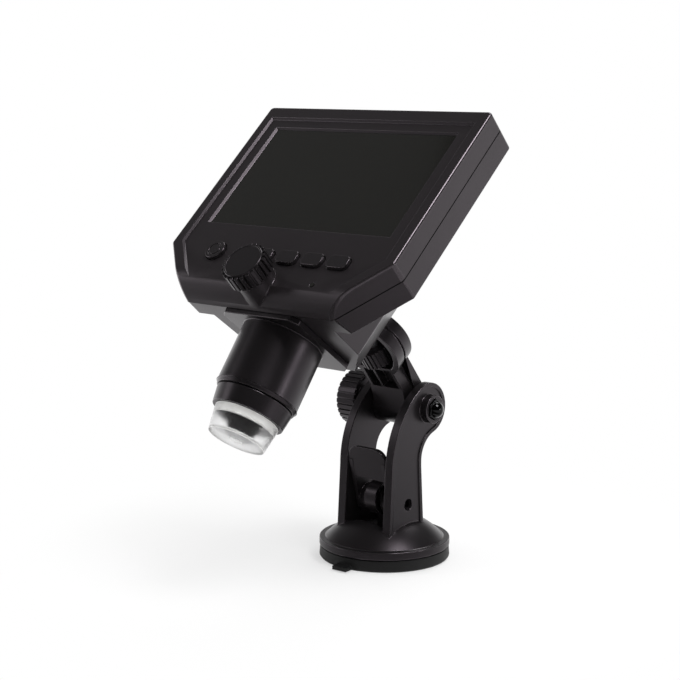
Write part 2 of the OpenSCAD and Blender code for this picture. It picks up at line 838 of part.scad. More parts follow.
module card_block(g, out) {
    translate([-head_half + 1 - out, card_v - g, board_back - card_h - g])
        cube([15 + out, card_w + 2 * g, card_h + 2 * g]);
}

module socket_openings() {
    intersection() {
        union() {
            usb_block(free_gap, 5);
            card_block(free_gap, 5);
        }
        translate([-head_half - 5, -shoulder, rear_n]) cube([5 + wall + eps, 2 * shoulder, slab_t]);
    }
}

// Recess of the front panel, inside the raised border, with sides at 45 degrees
module recess_cut() {
    top_n = rim_n + 1;
    grow = top_n - rim_n;
    hull() {
        translate([0, 0, panel_n]) linear_extrude(eps)
            polygon(outline_points(border_side + rim_n - panel_n, border_top + rim_n - panel_n));
        translate([0, 0, top_n]) linear_extrude(eps)
            polygon(outline_points(border_side - grow, border_top - grow));
    }
}

module window_cut() {
    hull() {
        translate([-view_w / 2, -view_h / 2, -eps]) cube([view_w, view_h, eps]);
        translate([-view_w / 2 - panel_n - 1, -view_h / 2 - panel_n - 1, panel_n + 1])
            cube([view_w + 2 * panel_n + 2, view_h + 2 * panel_n + 2, eps]);
    }
    translate([-view_w / 2 - glass_rim, -view_h / 2 - glass_rim, -20])
        cube([view_w + 2 * glass_rim, view_h + 2 * glass_rim, 20]);
}

// Hollow of the housing's front half
module front_inner() {
    intersection() {
        translate([0, 0, part_n - 1]) linear_extrude(inner_n - part_n + 1)
            polygon(outline_points(wall, wall));
        sideways(-head_half, head_w) chin_outline(wall);
    }
}

module front_shell() {
    shaft_tube = 3.2;
    color(charcoal) in_head() difference() {
        union() {
            difference() {
                intersection() {
                    translate([0, 0, part_n]) linear_extrude(front_t) head_outline();
                    sideways(-head_half, head_w) chin_outline(0);
                }
                front_inner();
                recess_cut();
                window_cut();
            }
            difference() {
                translate([0, -knob_low, part_n]) cylinder(r = boss_r, h = boss_top - part_n);
                front_inner();
            }
            translate([0, -knob_low, inner_n - 4]) cylinder(r = shaft_tube, h = 4 + eps);
            shell_screw_places() translate([0, 0, part_n + 0.1]) cylinder(r = 2.5, h = inner_n - part_n);
            board_screw_places() translate([0, 0, board_n]) cylinder(r = post_r, h = inner_n - board_n + eps);
        }
        translate([0, -knob_low, part_n]) cylinder(r = shaft_d / 2 + run_fit, h = 30);
        key_places() translate([0, 0, -10]) linear_extrude(20) key_outline(key_gap);
        translate([-power_x, -key_low, -10]) cylinder(r = power_d / 2 + key_gap, h = 20);
        translate([led_x, -led_low, -10]) cylinder(r = 1, h = 20);
        shell_screw_places() translate([0, 0, part_n - 1]) cylinder(r = 1.25, h = front_t - 3.4);
        board_screw_places() translate([0, 0, board_n - 1]) cylinder(r = 0.95, h = inner_n - board_n + 1.4);
        socket_openings();
    }
}

module rear_shell() {
    color(charcoal) in_head() difference() {
        union() {
            difference() {
                rear_outer();
                rear_inner();
            }
            shell_screw_places() translate([0, 0, rear_n + 0.5]) cylinder(r = 3.4, h = part_n - rear_n - 0.6);
            at_pad() translate([0, 0, 0.5]) cylinder(r = 7.5, h = 10);
            in_barrel() translate([0, 0, 0.5]) sensor_posts(1.8, sensor_z - 0.5);
        }
        in_barrel() translate([0, 0, -5]) cylinder(r = bore_r + 0.2, h = 5 + 2 * wall);
        in_barrel() barrel_screw_places() translate([0, 0, -1]) cylinder(r = 1.25, h = 2 * wall);
        in_barrel() sensor_posts_holes();
        at_pad() translate([0, 0, -1]) cylinder(r = 5.02, h = 10);
        shell_screw_places() translate([0, 0, rear_n - 1]) cylinder(r = 2.6, h = 6);
        shell_screw_places() translate([0, 0, rear_n - 1]) cylinder(r = 1.35, h = slab_t);
        socket_openings();
    }
}

module screen_window() {
    color(glass_black) in_head()
        translate([-view_w / 2 - glass_rim + 0.15, -view_h / 2 - glass_rim + 0.15, -glass_t])
        cube([view_w + 2 * glass_rim - 0.3, view_h + 2 * glass_rim - 0.3, glass_t]);
}

module lcd_panel() {
    color(foil_silver) in_head()
        translate([-lcd_w / 2, -lcd_down, lcd_n])
        cube([lcd_w, lcd_down + lcd_up, lcd_t]);
}

module main_board() {
    notch = 10;
    color(board_green) in_head() difference() {
        translate([0, 0, board_back]) linear_extrude(board_t) difference() {
            union() {
                translate([-board_half, -board_step]) square([2 * board_half, board_step + board_top]);
                translate([-board_low_half, -board_low]) square([2 * board_low_half, board_low]);
            }
            translate([-notch, -board_low - 1]) square([2 * notch, board_low - key_low - 3]);
        }
        board_screw_places() translate([0, 0, board_back - 1]) cylinder(r = 1, h = 4);
    }
}

module battery() {
    bat_w = 60;
    bat_h = 40;
    bat_t = 6;
    color(foil_silver) in_head()
        translate([-bat_w / 2 + 6, -bat_h / 2 + 4, board_back - seat_gap - bat_t])
        cube([bat_w, bat_h, bat_t]);
}

module tact_switches() {
    body = 5;
    body_t = 1.2;
    color(steel) in_head() for (x = concat([-power_x], [for (i = [0 : 3]) key_x(i)]))
        translate([x, -key_low, board_n]) {
            translate([-body / 2, -body / 2, 0]) cube([body, body, body_t]);
            cylinder(r = 1.3, h = switch_n - board_n);
        }
}

module usb_socket() {
    color(steel) in_head() difference() {
        usb_block(0, 0);
        translate([-head_half - 1, usb_v + 0.5, board_back - usb_h + 0.5]) cube([6.4, usb_w - 1, usb_h - 1]);
    }
}

module card_socket() {
    color(steel) in_head() difference() {
        card_block(0, 0);
        translate([-head_half, card_v + 1.4, board_back - card_h + 0.4]) cube([14, card_w - 2.8, card_h - 0.8]);
    }
}

module board_screws() {
    color(steel) in_head() board_screw_places() {
        translate([0, 0, board_back - 1.3]) cylinder(r = 1.7, h = 1.3);
        translate([0, 0, board_back - eps]) cylinder(r = 0.9, h = board_t + 2.6);
    }
}

module shell_screws() {
    color(steel) in_head() shell_screw_places() {
        translate([0, 0, rear_n + 3.4]) cylinder(r = 2.3, h = 1.6);
        translate([0, 0, rear_n + 5 - eps]) cylinder(r = 1.2, h = part_n - rear_n - 5 + 4);
    }
}

module indicator_lens() {
    color(clear_white) in_head() translate([led_x, -led_low, board_n + seat_gap])
        cylinder(r = 0.9, h = panel_n - board_n);
}

module tripod_bush() {
    color(brass) in_head() at_pad() difference() {
        cylinder(r = 5, h = 9);
        translate([0, 0, -1]) cylinder(r = stud_d / 2 + slide_fit, h = 12);
    }
}

// Camera barrel

module barrel_screw_places() {
    for (sx = [-1, 1])
        for (y = [-barrel_screw_fore, barrel_screw_aft])
            translate([sx * barrel_screw_x, y, 0]) children();
}

module flange_outline() {
    cut = 3;
    polygon([
        [-flange_w / 2 + cut, -flange_fore], [flange_w / 2 - cut, -flange_fore],
        [flange_w / 2, -flange_fore + cut], [flange_w / 2, flange_aft - cut],
        [flange_w / 2 - cut, flange_aft], [-flange_w / 2 + cut, flange_aft],
        [-flange_w / 2, flange_aft - cut], [-flange_w / 2, -flange_fore + cut]
    ]);
}

module barrel() {
    lip = 1.6;
    step = 0.5;
    color(soft_black) in_head() in_barrel() difference() {
        union() {
            translate([0, 0, -flange_t]) linear_extrude(flange_t) flange_outline();
            translate([0, 0, -barrel_l + lip]) cylinder(r = barrel_d / 2, h = barrel_l - lip);
            translate([0, 0, -barrel_l]) cylinder(r1 = barrel_d / 2 - step, r2 = barrel_d / 2, h = lip + eps);
        }
        translate([0, 0, -barrel_l - 1]) cylinder(r = bore_r, h = barrel_l + 2);
        barrel_screw_places() translate([0, 0, 0.6 - flange_t]) cylinder(r = 1.05, h = flange_t);
    }
}

module barrel_screws() {
    color(steel) in_head() in_barrel() barrel_screw_places() {
        translate([0, 0, wall]) cylinder(r = 2, h = 1.4);
        translate([0, 0, 0.8 - flange_t]) cylinder(r = 1, h = flange_t + wall);
    }
}

// Nose ring: a tapered collar with a spigot up into the barrel and one down into the cap
module nose_ring() {
    well_r = spigot_r - 1.2;
    color(soft_black) in_head() in_barrel() difference() {
        union() {
            translate([0, 0, ring_low]) cylinder(r1 = ring_d1 / 2, r2 = ring_d0 / 2, h = ring_l);
            translate([0, 0, ring_top - eps]) cylinder(r = bore_r - run_fit, h = 3.2);
            translate([0, 0, ring_low - spigot_l]) cylinder(r = spigot_r, h = spigot_l + eps);
        }
        translate([0, 0, ring_low - spigot_l - 1]) cylinder(r = well_r, h = ring_l + spigot_l + 6);
    }
}

module light_board() {
    color(clear_white) in_head() in_barrel() translate([0, 0, ring_low - spigot_l + 1.4]) difference() {
        cylinder(r = spigot_r - 1.2 - 0.05, h = 1.2);
        translate([0, 0, -1]) cylinder(r = nose_d / 2 + free_gap, h = 4);
    }
}

module light_leds() {
    lamps = 8;
    lamp_r = (spigot_r - 1.2 + nose_d / 2) / 2 + 0.2;
    color(clear_white) in_head() in_barrel() for (i = [0 : lamps - 1])
        rotate([0, 0, (i + 0.5) * 360 / lamps]) translate([lamp_r - 1, -1.1, ring_low - spigot_l + 0.6])
            cube([2, 2.2, 0.8]);
}

module clear_cap() {
    end_hole = 2.7;
    depth = cap_l - cap_wall;
    color(clear_white) in_head() in_barrel() difference() {
        translate([0, 0, cap_low]) cylinder(r1 = cap_d1 / 2, r2 = cap_d0 / 2, h = cap_l - seat_gap);
        translate([0, 0, cap_low + cap_wall])
            cylinder(r1 = cap_d1 / 2 - cap_wall, r2 = cap_d0 / 2 - cap_wall, h = depth - spigot_l - seat_gap);
        translate([0, 0, ring_low - spigot_l - 2 * seat_gap - eps])
            cylinder(r = cap_d0 / 2 - cap_wall, h = spigot_l + 1);
        translate([0, 0, cap_low - 1]) cylinder(r = end_hole, h = cap_wall + 2);
    }
}

module sensor_posts(r, top) {
    for (side = [-1, 1])
        translate([side * (bore_r + r + 0.2), 4, 0]) cylinder(r = r, h = top);
}

module sensor_posts_holes() {
    for (side = [-1, 1])
        translate([side * (bore_r + 2), 4, sensor_z - 4]) cylinder(r = 0.85, h = 6);
}

module sensor_board() {
    half = bore_r + 4;
    color(board_green) in_head() in_barrel() difference() {
        translate([-half, -6, sensor_z]) cube([2 * half, 15, 1.2]);
        sensor_posts_holes();
    }
}

module sensor_chip() {
    color(glass_black) in_head() in_barrel() translate([-3.6, -3.6, sensor_z - 1.2]) cube([7.2, 7.2, 1.2]);
}

module sensor_screws() {
    color(steel) in_head() in_barrel() for (side = [-1, 1])
        translate([side * (bore_r + 2), 4, sensor_z]) {
            translate([0, 0, -3]) cylinder(r = 0.8, h = 4.2 + eps);
            translate([0, 0, 1.2]) cylinder(r = 1.5, h = 1.1);
        }
}

// Focus drive

// Knob with broad ribs below a flat round face
module focus_knob() {
    low_n = boss_top + 0.4;
    face_h = 0.5;
    edge = 0.3;
    rib_top = knob_top - face_h;
    face_r = knob_d / 2 - knob_groove;
    color(soft_black) in_head() translate([0, -knob_low, 0]) difference() {
        union() {
            translate([0, 0, low_n]) ribbed(knob_d / 2, rib_top - low_n, knob_ribs, 0.5, knob_groove);
            translate([0, 0, rib_top - eps]) cylinder(r = face_r, h = face_h - edge + eps);
            translate([0, 0, knob_top - edge - eps]) cylinder(r1 = face_r, r2 = face_r - edge, h = edge + eps);
        }
        cylinder(r = shaft_d / 2 + 0.02, h = knob_top - 2);
    }
}

module focus_shaft() {
    color(steel) in_head() translate([0, -knob_low, pinion_n0 - 0.6])
        cylinder(r = shaft_d / 2, h = knob_top - 2.2 - pinion_n0 + 0.6);
}

// A straight-sided tooth about the X axis, from the root up to the tip
module tooth(root, tip) {
    thick = tooth_pitch / 2 - backlash;
    slope = tan(20);
    base = thick + 2 * (pinion_r - root) * slope;
    crest = thick - 2 * (tip - pinion_r) * slope;
    polygon([[root - 0.3, -base / 2], [tip, -crest / 2], [tip, crest / 2], [root - 0.3, base / 2]]);
}

module focus_pinion() {
    root = pinion_r - 1.25 * tooth_size;
    tip = pinion_r + 0.9 * tooth_size;
    color(brass) in_head() translate([0, -knob_low, pinion_n0]) difference() {
        linear_extrude(pinion_w) union() {
            circle(root);
            for (i = [0 : pinion_teeth - 1])
                rotate(i * 360 / pinion_teeth) tooth(root, tip);
        }
        translate([0, 0, -1]) cylinder(r = shaft_d / 2 + 0.02, h = pinion_w + 2);
    }
}

// Rack teeth that run out of the screen and face the pinion
module rack_teeth() {
    below = ceil(rack_down / tooth_pitch);
    above = ceil(rack_up / tooth_pitch);
    tip = pinion_r - 0.9 * tooth_size;
    thick = tooth_pitch / 2 - backlash;
    slope = tan(20);
    base = thick + 2 * (rack_root - pinion_r) * slope;
    crest = thick - 2 * (pinion_r - tip) * slope;
    translate([0, -knob_low, pinion_n0 - pinion_w]) linear_extrude(3 * pinion_w)
        for (i = [-below : above - 1])
            translate([0, (i + 0.5) * tooth_pitch]) polygon([
                [rack_root + 0.3, -base / 2], [rack_root + 0.3, base / 2], [tip, crest / 2], [tip, -crest / 2]
            ]);
}

module lens_carriage() {
    bar_y0 = -12;
    bar_y1 = -8.4;
    bar_w = 3;
    bar_top = pinion_r + rack_up + 4;
    tip_h = 3;
    tip_r = lens_r + 0.8;
    web = 2;
    color(soft_black) in_head() union() {
        in_barrel() {
            difference() {
                union() {
                    translate([0, 0, carriage_low]) cylinder(r = carriage_r, h = carriage_top - carriage_low);
                    translate([0, 0, nose_low + tip_h - eps])
                        cylinder(r = nose_d / 2, h = carriage_low - nose_low - tip_h + 2 * eps);
                    translate([0, 0, nose_low]) cylinder(r1 = tip_r, r2 = nose_d / 2, h = tip_h);
                }
                translate([0, 0, carriage_low + web]) cylinder(r = carriage_r - 2.2, h = 30);
                translate([0, 0, nose_low - 1]) cylinder(r = lens_r, h = 60);
            }
            translate([rack_root, bar_y0, carriage_low + web - eps])
                cube([bar_w, bar_y1 - bar_y0, bar_top - carriage_low - web]);
        }
        intersection() {
            rack_teeth();
            in_barrel() translate([0, bar_y0, carriage_top])
                cube([rack_root + 0.5, bar_y1 - bar_y0, bar_top - carriage_top]);
        }
    }
}

// A lens with two round faces, of radius r and bulge b each side
module lens(r, b, edge) {
    ball = (r * r + b * b) / (2 * b);
    intersection() {
        cylinder(r = r, h = edge + 2 * b, center = true);
        translate([0, 0, ball - b - edge / 2]) sphere(r = ball, $fn = 96);
        translate([0, 0, b + edge / 2 - ball]) sphere(r = ball, $fn = 96);
    }
}

module front_lens() {
    color(clear_white) in_head() in_barrel() translate([0, 0, nose_low + 2.4]) lens(lens_r - 0.02, 0.8, 1);
}

module rear_lens() {
    color(clear_white) in_head() in_barrel() translate([0, 0, carriage_low - 2]) lens(lens_r - 0.02, 0.6, 1);
}

// Keys

// A key with its retaining flange behind the panel
module function_key(i) {
    flange = 0.8;
    color(charcoal) in_head() translate([key_x(i), -key_low, 0]) {
        translate([0, 0, inner_n - seat_gap - eps]) linear_extrude(panel_n + key_proud - inner_n + seat_gap)
            key_outline(0);
        translate([0, 0, -2]) linear_extrude(2 + inner_n - seat_gap) key_outline(flange);
    }
}

module power_button() {
    ring_r = power_d / 2 - 1.4;
    color(charcoal) in_head() translate([-power_x, -key_low, 0]) difference() {
        union() {
            translate([0, 0, -2]) cylinder(r = power_d / 2, h = 2 + panel_n + key_proud);
            translate([0, 0, -2]) cylinder(r = power_d / 2 + 0.8, h = 2 + inner_n - seat_gap);
        }
        translate([0, 0, panel_n + key_proud - 0.3]) difference() {
            cylinder(r = ring_r, h = 1);
            cylinder(r = ring_r - 0.6, h = 1);
        }
    }
}

module key_one() { function_key(0); }
module key_two() { function_key(1); }
module key_three() { function_key(2); }
module key_four() { function_key(3); }

base_body();
lever_pin();
suction_cup();
clamp_bolt();
clamp_knob();
lever();
plunger();
arm_front();
arm_cover();
arm_screws();
thumb_wheel();
clamp_stud();
front_shell();
rear_shell();
screen_window();
lcd_panel();
main_board();
battery();
tact_switches();
usb_socket();
card_socket();
board_screws();
shell_screws();
indicator_lens();
tripod_bush();
barrel();
barrel_screws();
nose_ring();
light_board();
light_leds();
sensor_board();
sensor_chip();
sensor_screws();
clear_cap();
focus_knob();
focus_shaft();
focus_pinion();
lens_carriage();
front_lens();
rear_lens();
power_button();
key_one();
key_two();
key_three();
key_four();
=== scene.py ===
"""Looks of a digital microscope: a tilted screen head on an arm over a suction stand.

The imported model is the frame. Each class below dresses one sub-assembly of it: plain solids get
soft edges and a finish, and the grips, screws and lamps are grown with Geometry Nodes.
"""

from __future__ import annotations

import json
import logging
import math
from dataclasses import dataclass, field
from enum import Enum, IntEnum
from typing import Any, ClassVar, Iterable, Sequence, Union

import bmesh
import bpy
from mathutils import Matrix, Vector
from mathutils.geometry import intersect_point_line

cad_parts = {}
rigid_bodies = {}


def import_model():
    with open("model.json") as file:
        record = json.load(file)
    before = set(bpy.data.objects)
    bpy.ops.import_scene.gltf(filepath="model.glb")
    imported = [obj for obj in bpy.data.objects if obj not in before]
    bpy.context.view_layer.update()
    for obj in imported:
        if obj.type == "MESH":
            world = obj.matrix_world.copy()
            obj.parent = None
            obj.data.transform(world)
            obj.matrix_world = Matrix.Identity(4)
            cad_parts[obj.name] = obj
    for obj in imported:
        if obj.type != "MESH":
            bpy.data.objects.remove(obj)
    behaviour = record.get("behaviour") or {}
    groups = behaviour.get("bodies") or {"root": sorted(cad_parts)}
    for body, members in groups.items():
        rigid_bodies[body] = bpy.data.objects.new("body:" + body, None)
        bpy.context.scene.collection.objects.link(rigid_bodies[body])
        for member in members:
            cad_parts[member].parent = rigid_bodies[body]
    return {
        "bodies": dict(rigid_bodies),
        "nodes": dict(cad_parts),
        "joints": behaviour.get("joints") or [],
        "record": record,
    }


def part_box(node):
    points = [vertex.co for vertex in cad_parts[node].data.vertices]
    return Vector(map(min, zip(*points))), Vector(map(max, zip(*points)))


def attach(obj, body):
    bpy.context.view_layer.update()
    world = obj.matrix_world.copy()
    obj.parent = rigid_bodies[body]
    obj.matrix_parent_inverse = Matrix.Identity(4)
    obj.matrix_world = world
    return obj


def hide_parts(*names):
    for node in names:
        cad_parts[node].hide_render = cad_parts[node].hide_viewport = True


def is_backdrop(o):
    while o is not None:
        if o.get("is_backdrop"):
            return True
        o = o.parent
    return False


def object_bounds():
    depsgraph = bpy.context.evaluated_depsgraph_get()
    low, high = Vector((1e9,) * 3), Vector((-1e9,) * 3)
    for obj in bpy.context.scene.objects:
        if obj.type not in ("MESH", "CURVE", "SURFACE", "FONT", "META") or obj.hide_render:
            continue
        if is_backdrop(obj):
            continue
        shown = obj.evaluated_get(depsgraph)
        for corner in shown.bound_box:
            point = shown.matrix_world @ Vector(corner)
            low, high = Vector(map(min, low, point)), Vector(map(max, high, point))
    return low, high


LOG = logging.getLogger("microscope")
MM = 0.001
MERGE = 0.000002
FLAT = math.radians(0.4)
SHARP = math.radians(32)
RIB_CORNER = math.radians(40)
WHITE = (1.0, 1.0, 1.0, 1.0)
ACROSS = Vector((1, 0, 0)).freeze()
BACKWARD = Vector((0, 1, 0)).freeze()

Colour = tuple[float, float, float]
Profile = Sequence[tuple[float, float]]
Seam = tuple[Vector, float]
Value = Union[float, int, Sequence[float], "Sock"]
Inputs = dict[Union[str, int], Any]


class Surface(Enum):
    """The kind of surface that a finish has."""

    MOULDED = "moulded"
    BRUSHED = "brushed"
    POLISHED = "polished"
    CLEAR = "clear"
    BOARD = "board"
    FOIL = "foil"
    # Glows: lamp light on the LEDs, and a painted glow on the light board
    GLOWING = "lamp"


class Slot(IntEnum):
    """The material slots of a copy with rounded edges."""

    FACE = 0
    EDGE = 1
    SEAM = 2


class Sock:
    """A node's output that takes part in Python expressions."""

    def __init__(self, graph: Graph, socket: bpy.types.NodeSocket) -> None:
        """Keeps the socket and the graph that it belongs to."""
        self.graph = graph
        self.socket = socket

    def _math(self, operation: str, first: Value, second: Value) -> Sock:
        """Adds one Math node, and gives its result."""
        return self.graph.node("ShaderNodeMath", {"operation": operation}, {0: first, 1: second})

    def __add__(self, other: Value) -> Sock:
        """Adds a value."""
        return self._math("ADD", self, other)

    def __radd__(self, other: Value) -> Sock:
        """Adds this to a value."""
        return self._math("ADD", other, self)

    def __sub__(self, other: Value) -> Sock:
        """Takes a value away."""
        return self._math("SUBTRACT", self, other)

    def __rsub__(self, other: Value) -> Sock:
        """Takes this away from a value."""
        return self._math("SUBTRACT", other, self)

    def __mul__(self, other: Value) -> Sock:
        """Multiplies by a value."""
        return self._math("MULTIPLY", self, other)

    def __rmul__(self, other: Value) -> Sock:
        """Multiplies a value by this."""
        return self._math("MULTIPLY", other, self)

    def __gt__(self, other: Value) -> Sock:
        """Gives one where this is greater, and zero elsewhere."""
        return self._math("GREATER_THAN", self, other)


@dataclass(frozen=True)
class Span:
    """Two places, and the level at each of them."""

    start: float
    end: float
    first: float = 0.0
    last: float = 1.0


class Graph:
    """A node tree, with one method that adds any node."""

    def __init__(self, tree: bpy.types.NodeTree) -> None:
        """Keeps the tree that nodes are added to."""
        self.tree = tree

    def feed(self, target: bpy.types.NodeSocket, value: Value) -> None:
        """Links a socket to another one, or sets its value.

        Args:
            target: the input socket.
            value: a link, a number, a vector or a data block.
        """
        if isinstance(value, Sock):
            self.tree.links.new(value.socket, target)
        else:
            target.default_value = value

    def add(self, kind: str, settings: dict[str, Any], inputs: Inputs) -> bpy.types.Node:
        """Adds a node.

        Args:
            kind: the node's type.
            settings: the node's properties, which are set first.
            inputs: values or links by socket name or number; a list links several to one socket.

        Returns:
            The node.
        """
        made = self.tree.nodes.new(kind)
        for name, value in settings.items():
            setattr(made, name, value)
        for name, value in inputs.items():
            for one in value if isinstance(value, list) else [value]:
                self.feed(made.inputs[name], one)
        return made

    def node(self, kind: str, settings: dict[str, Any], inputs: Inputs, output: str | int = 0) -> Sock:
        """Adds a node, and gives the chosen output of it."""
        return Sock(self, self.add(kind, settings, inputs).outputs[output])

    def mix(self, factor: Value, first: Value, second: Value) -> Sock:
        """Blends from the first colour, where the factor is zero, to the second."""
        return self.node("ShaderNodeMix", {"data_type": "RGBA"}, {0: factor, 6: first, 7: second}, 2)

    def ramp(self, value: Sock, span: Span) -> Sock:
        """Maps a value from a span's two places to its two levels."""
        ends = {"From Min": span.start, "From Max": span.end, "To Min": span.first, "To Max": span.last}
        return self.node("ShaderNodeMapRange", {}, {"Value": value, **ends})


def blank(holder: bpy.types.Material | bpy.types.World) -> Graph:
    """Empties a material's or world's node tree, and gives it as a graph.

    Args:
        holder: the material or world.

    Returns:
        The empty graph.
    """
    holder.use_nodes = True
    holder.node_tree.nodes.clear()
    return Graph(holder.node_tree)


def tint(colour: Colour, gain: float) -> tuple[float, ...]:
    """Makes a colour lighter or darker, with full alpha."""
    return (*(min(1.0, channel * gain) for channel in colour), 1.0)


def blend(first: Sock, second: Sock, share: float) -> Sock:
    """Adds the first pattern by its share and the second by the rest."""
    return first * share + second * (1.0 - share)


# Sizes in millimetres, details and shares of the finishes' patterns
PATCH_SIZE = 14.0
PATCH_DETAIL = 3.0
GRAIN_DETAIL = 2.0
NOISE_ROUGHNESS = 0.55
MOULDED_PATCHES = 0.7
MOULDED_CELLS = 0.6
PLAIN_PATCHES = 0.6
TRACKS = {"Scale": 120.0, "Mortar Size": 0.03, "Mortar Smooth": 0.1}
TRACK_RELIEF = 0.5
TRACK_GRAIN = 0.2
COAT_ROUGHNESS = 0.15
# Emission strength of glowing finishes: the LEDs' lamp light, and the light board's painted glow
LAMP_AND_PAINTED_GLOW = 1.0


@dataclass(frozen=True)
class Finish:
    """One procedural material.

    Sizes are in millimetres. The colour drifts by `drift`, the roughness by `spread`, and the
    grain is a bump of the given size and height.
    """

    name: str
    colour: Colour
    roughness: float
    surface: Surface = Surface.MOULDED
    drift: float = 0.12
    spread: float = 0.08
    grain: float = 0.3
    height: float = 0.006
    metallic: float = 0.0
    specular: float = 0.5
    coat: float = 0.0
    transmission: float = 0.0
    ior: float = 1.5
    glint: Colour = (1.0, 1.0, 1.0)
    made: ClassVar[dict[str, bpy.types.Material]] = {}

    def material(self) -> bpy.types.Material:
        """Builds the material once.

        Returns:
            The material, the same one each time.
        """
        if self.name not in self.made:
            fresh = bpy.data.materials.new(self.name)
            self._shade(blank(fresh))
            self.made[self.name] = fresh
        return self.made[self.name]

    @staticmethod
    def _noise(graph: Graph, place: Sock, size: float, detail: float) -> Sock:
        """Adds noise of a size in millimetres, from zero to one."""
        scale = {"Scale": 1.0 / (size * MM), "Detail": detail, "Roughness": NOISE_ROUGHNESS}
        return graph.node("ShaderNodeTexNoise", {}, {"Vector": place, **scale}, "Fac")

    def _cells(self, graph: Graph, place: Sock, feature: str) -> Sock:
        """Adds cells of the grain's size, as the distance from their middles."""
        inputs = {"Vector": place, "Scale": 1.0 / (self.grain * MM)}
        return graph.node("ShaderNodeTexVoronoi", {"feature": feature}, inputs, "Distance")

    def _pattern(self, graph: Graph, place: Sock) -> tuple[Sock, Sock]:
        """Makes the finish's own pattern.

        Args:
            graph: the graph to add to.
            place: the coordinates.

        Returns:
            The colour's mask and the bump's height.
        """
        broad = self._noise(graph, place, PATCH_SIZE, PATCH_DETAIL)
        fine = self._noise(graph, place, self.grain, GRAIN_DETAIL)
        if self.surface is Surface.BOARD:
            tracks = graph.node("ShaderNodeTexBrick", {"offset": 0.5}, {"Vector": place, **TRACKS}, "Fac")
            return tracks, tracks * TRACK_RELIEF + fine * TRACK_GRAIN
        if self.surface is Surface.FOIL:
            return broad, self._cells(graph, place, "F1")
        if self.surface is Surface.MOULDED:
            cells = self._cells(graph, place, "SMOOTH_F1")
            return blend(broad, fine, MOULDED_PATCHES), blend(cells, fine, MOULDED_CELLS)
        return blend(broad, fine, PLAIN_PATCHES), fine

    def _shade(self, graph: Graph) -> None:
        """Builds the shader's nodes.

        Args:
            graph: the material's empty graph.
        """
        place = graph.node("ShaderNodeTexCoord", {}, {}, "Object")
        mask, height = self._pattern(graph, place)
        colour = graph.mix(mask, tint(self.colour, 1.0 - self.drift), tint(self.colour, 1.0 + self.drift))
        rough = (mask - 0.5) * (2.0 * self.spread) + self.roughness
        relief = {"Height": height, "Strength": 1.0, "Distance": self.height * MM}
        inputs: Inputs = {
            "Base Color": colour,
            "Roughness": rough,
            "Metallic": self.metallic,
            "IOR": self.ior,
            "Specular IOR Level": self.specular,
            "Specular Tint": tint(self.glint, 1.0),
            "Coat Weight": self.coat,
            "Coat Roughness": COAT_ROUGHNESS,
            "Transmission Weight": self.transmission,
            "Normal": graph.node("ShaderNodeBump", {}, relief, "Normal"),
        }
        # A glowing finish emits its own colour; on the light board, which is no lamp, this is a painted glow
        if self.surface is Surface.GLOWING:
            inputs["Emission Color"] = tint(self.colour, 1.0)
            inputs["Emission Strength"] = LAMP_AND_PAINTED_GLOW
        shader = graph.node("ShaderNodeBsdfPrincipled", {}, inputs)
        graph.add("ShaderNodeOutputMaterial", {}, {"Surface": shader})


WARM = (1.0, 0.86, 0.97)


def highlight_edge_finish(name: str, colour: Colour) -> Finish:
    """Makes the glossier finish of a moulding's rounded edges, whose lighter colour is a painted highlight.
    """
    return Finish(name, colour, 0.22, grain=0.5, height=0.0006, spread=0.04, specular=0.9, glint=WARM)


HOUSING = Finish("housing_charcoal", (0.0135, 0.0117, 0.0126), 0.38, grain=0.28, height=0.002, glint=WARM)
# The edge finishes are glossier, and a little lighter than their faces as a painted highlight
HOUSING_EDGE_HIGHLIGHT = highlight_edge_finish("housing_edge_highlight", (0.018, 0.016, 0.017))
SEAM = Finish("seam_shade", (0.004, 0.0036, 0.0038), 0.6, height=0.001, specular=0.1)
STAND = Finish(
    "stand_charcoal", (0.008, 0.0073, 0.0077), 0.34, grain=0.4, height=0.002, specular=0.42, glint=WARM
)
STAND_EDGE_HIGHLIGHT = highlight_edge_finish("stand_edge_highlight", (0.013, 0.0119, 0.0125))
BLACK = Finish("turned_black", (0.007, 0.0064, 0.0067), 0.32, grain=0.25, height=0.0015, glint=WARM)
BLACK_EDGE_HIGHLIGHT = highlight_edge_finish("turned_edge_highlight", (0.011, 0.0101, 0.0106))
KEYS = Finish("key_charcoal", (0.0105, 0.0095, 0.01), 0.3, grain=0.2, height=0.0012, glint=WARM)
GLASS = Finish(
    "window_glass", (0.006, 0.0057, 0.0046), 0.08, Surface.POLISHED, spread=0.02, grain=6.0, height=0.0002
)
CLEAR = Finish(
    "frosted_cap_plastic",
    (0.985, 0.985, 0.985),
    0.3,
    Surface.CLEAR,
    drift=0.01,
    spread=0.03,
    grain=3.0,
    height=0.0006,
    transmission=1.0,
    ior=1.3,
)
CAP_EDGE = Finish(
    "frosted_edge",
    (0.96, 0.955, 0.94),
    0.45,
    Surface.CLEAR,
    drift=0.02,
    grain=1.0,
    height=0.001,
    transmission=0.35,
)
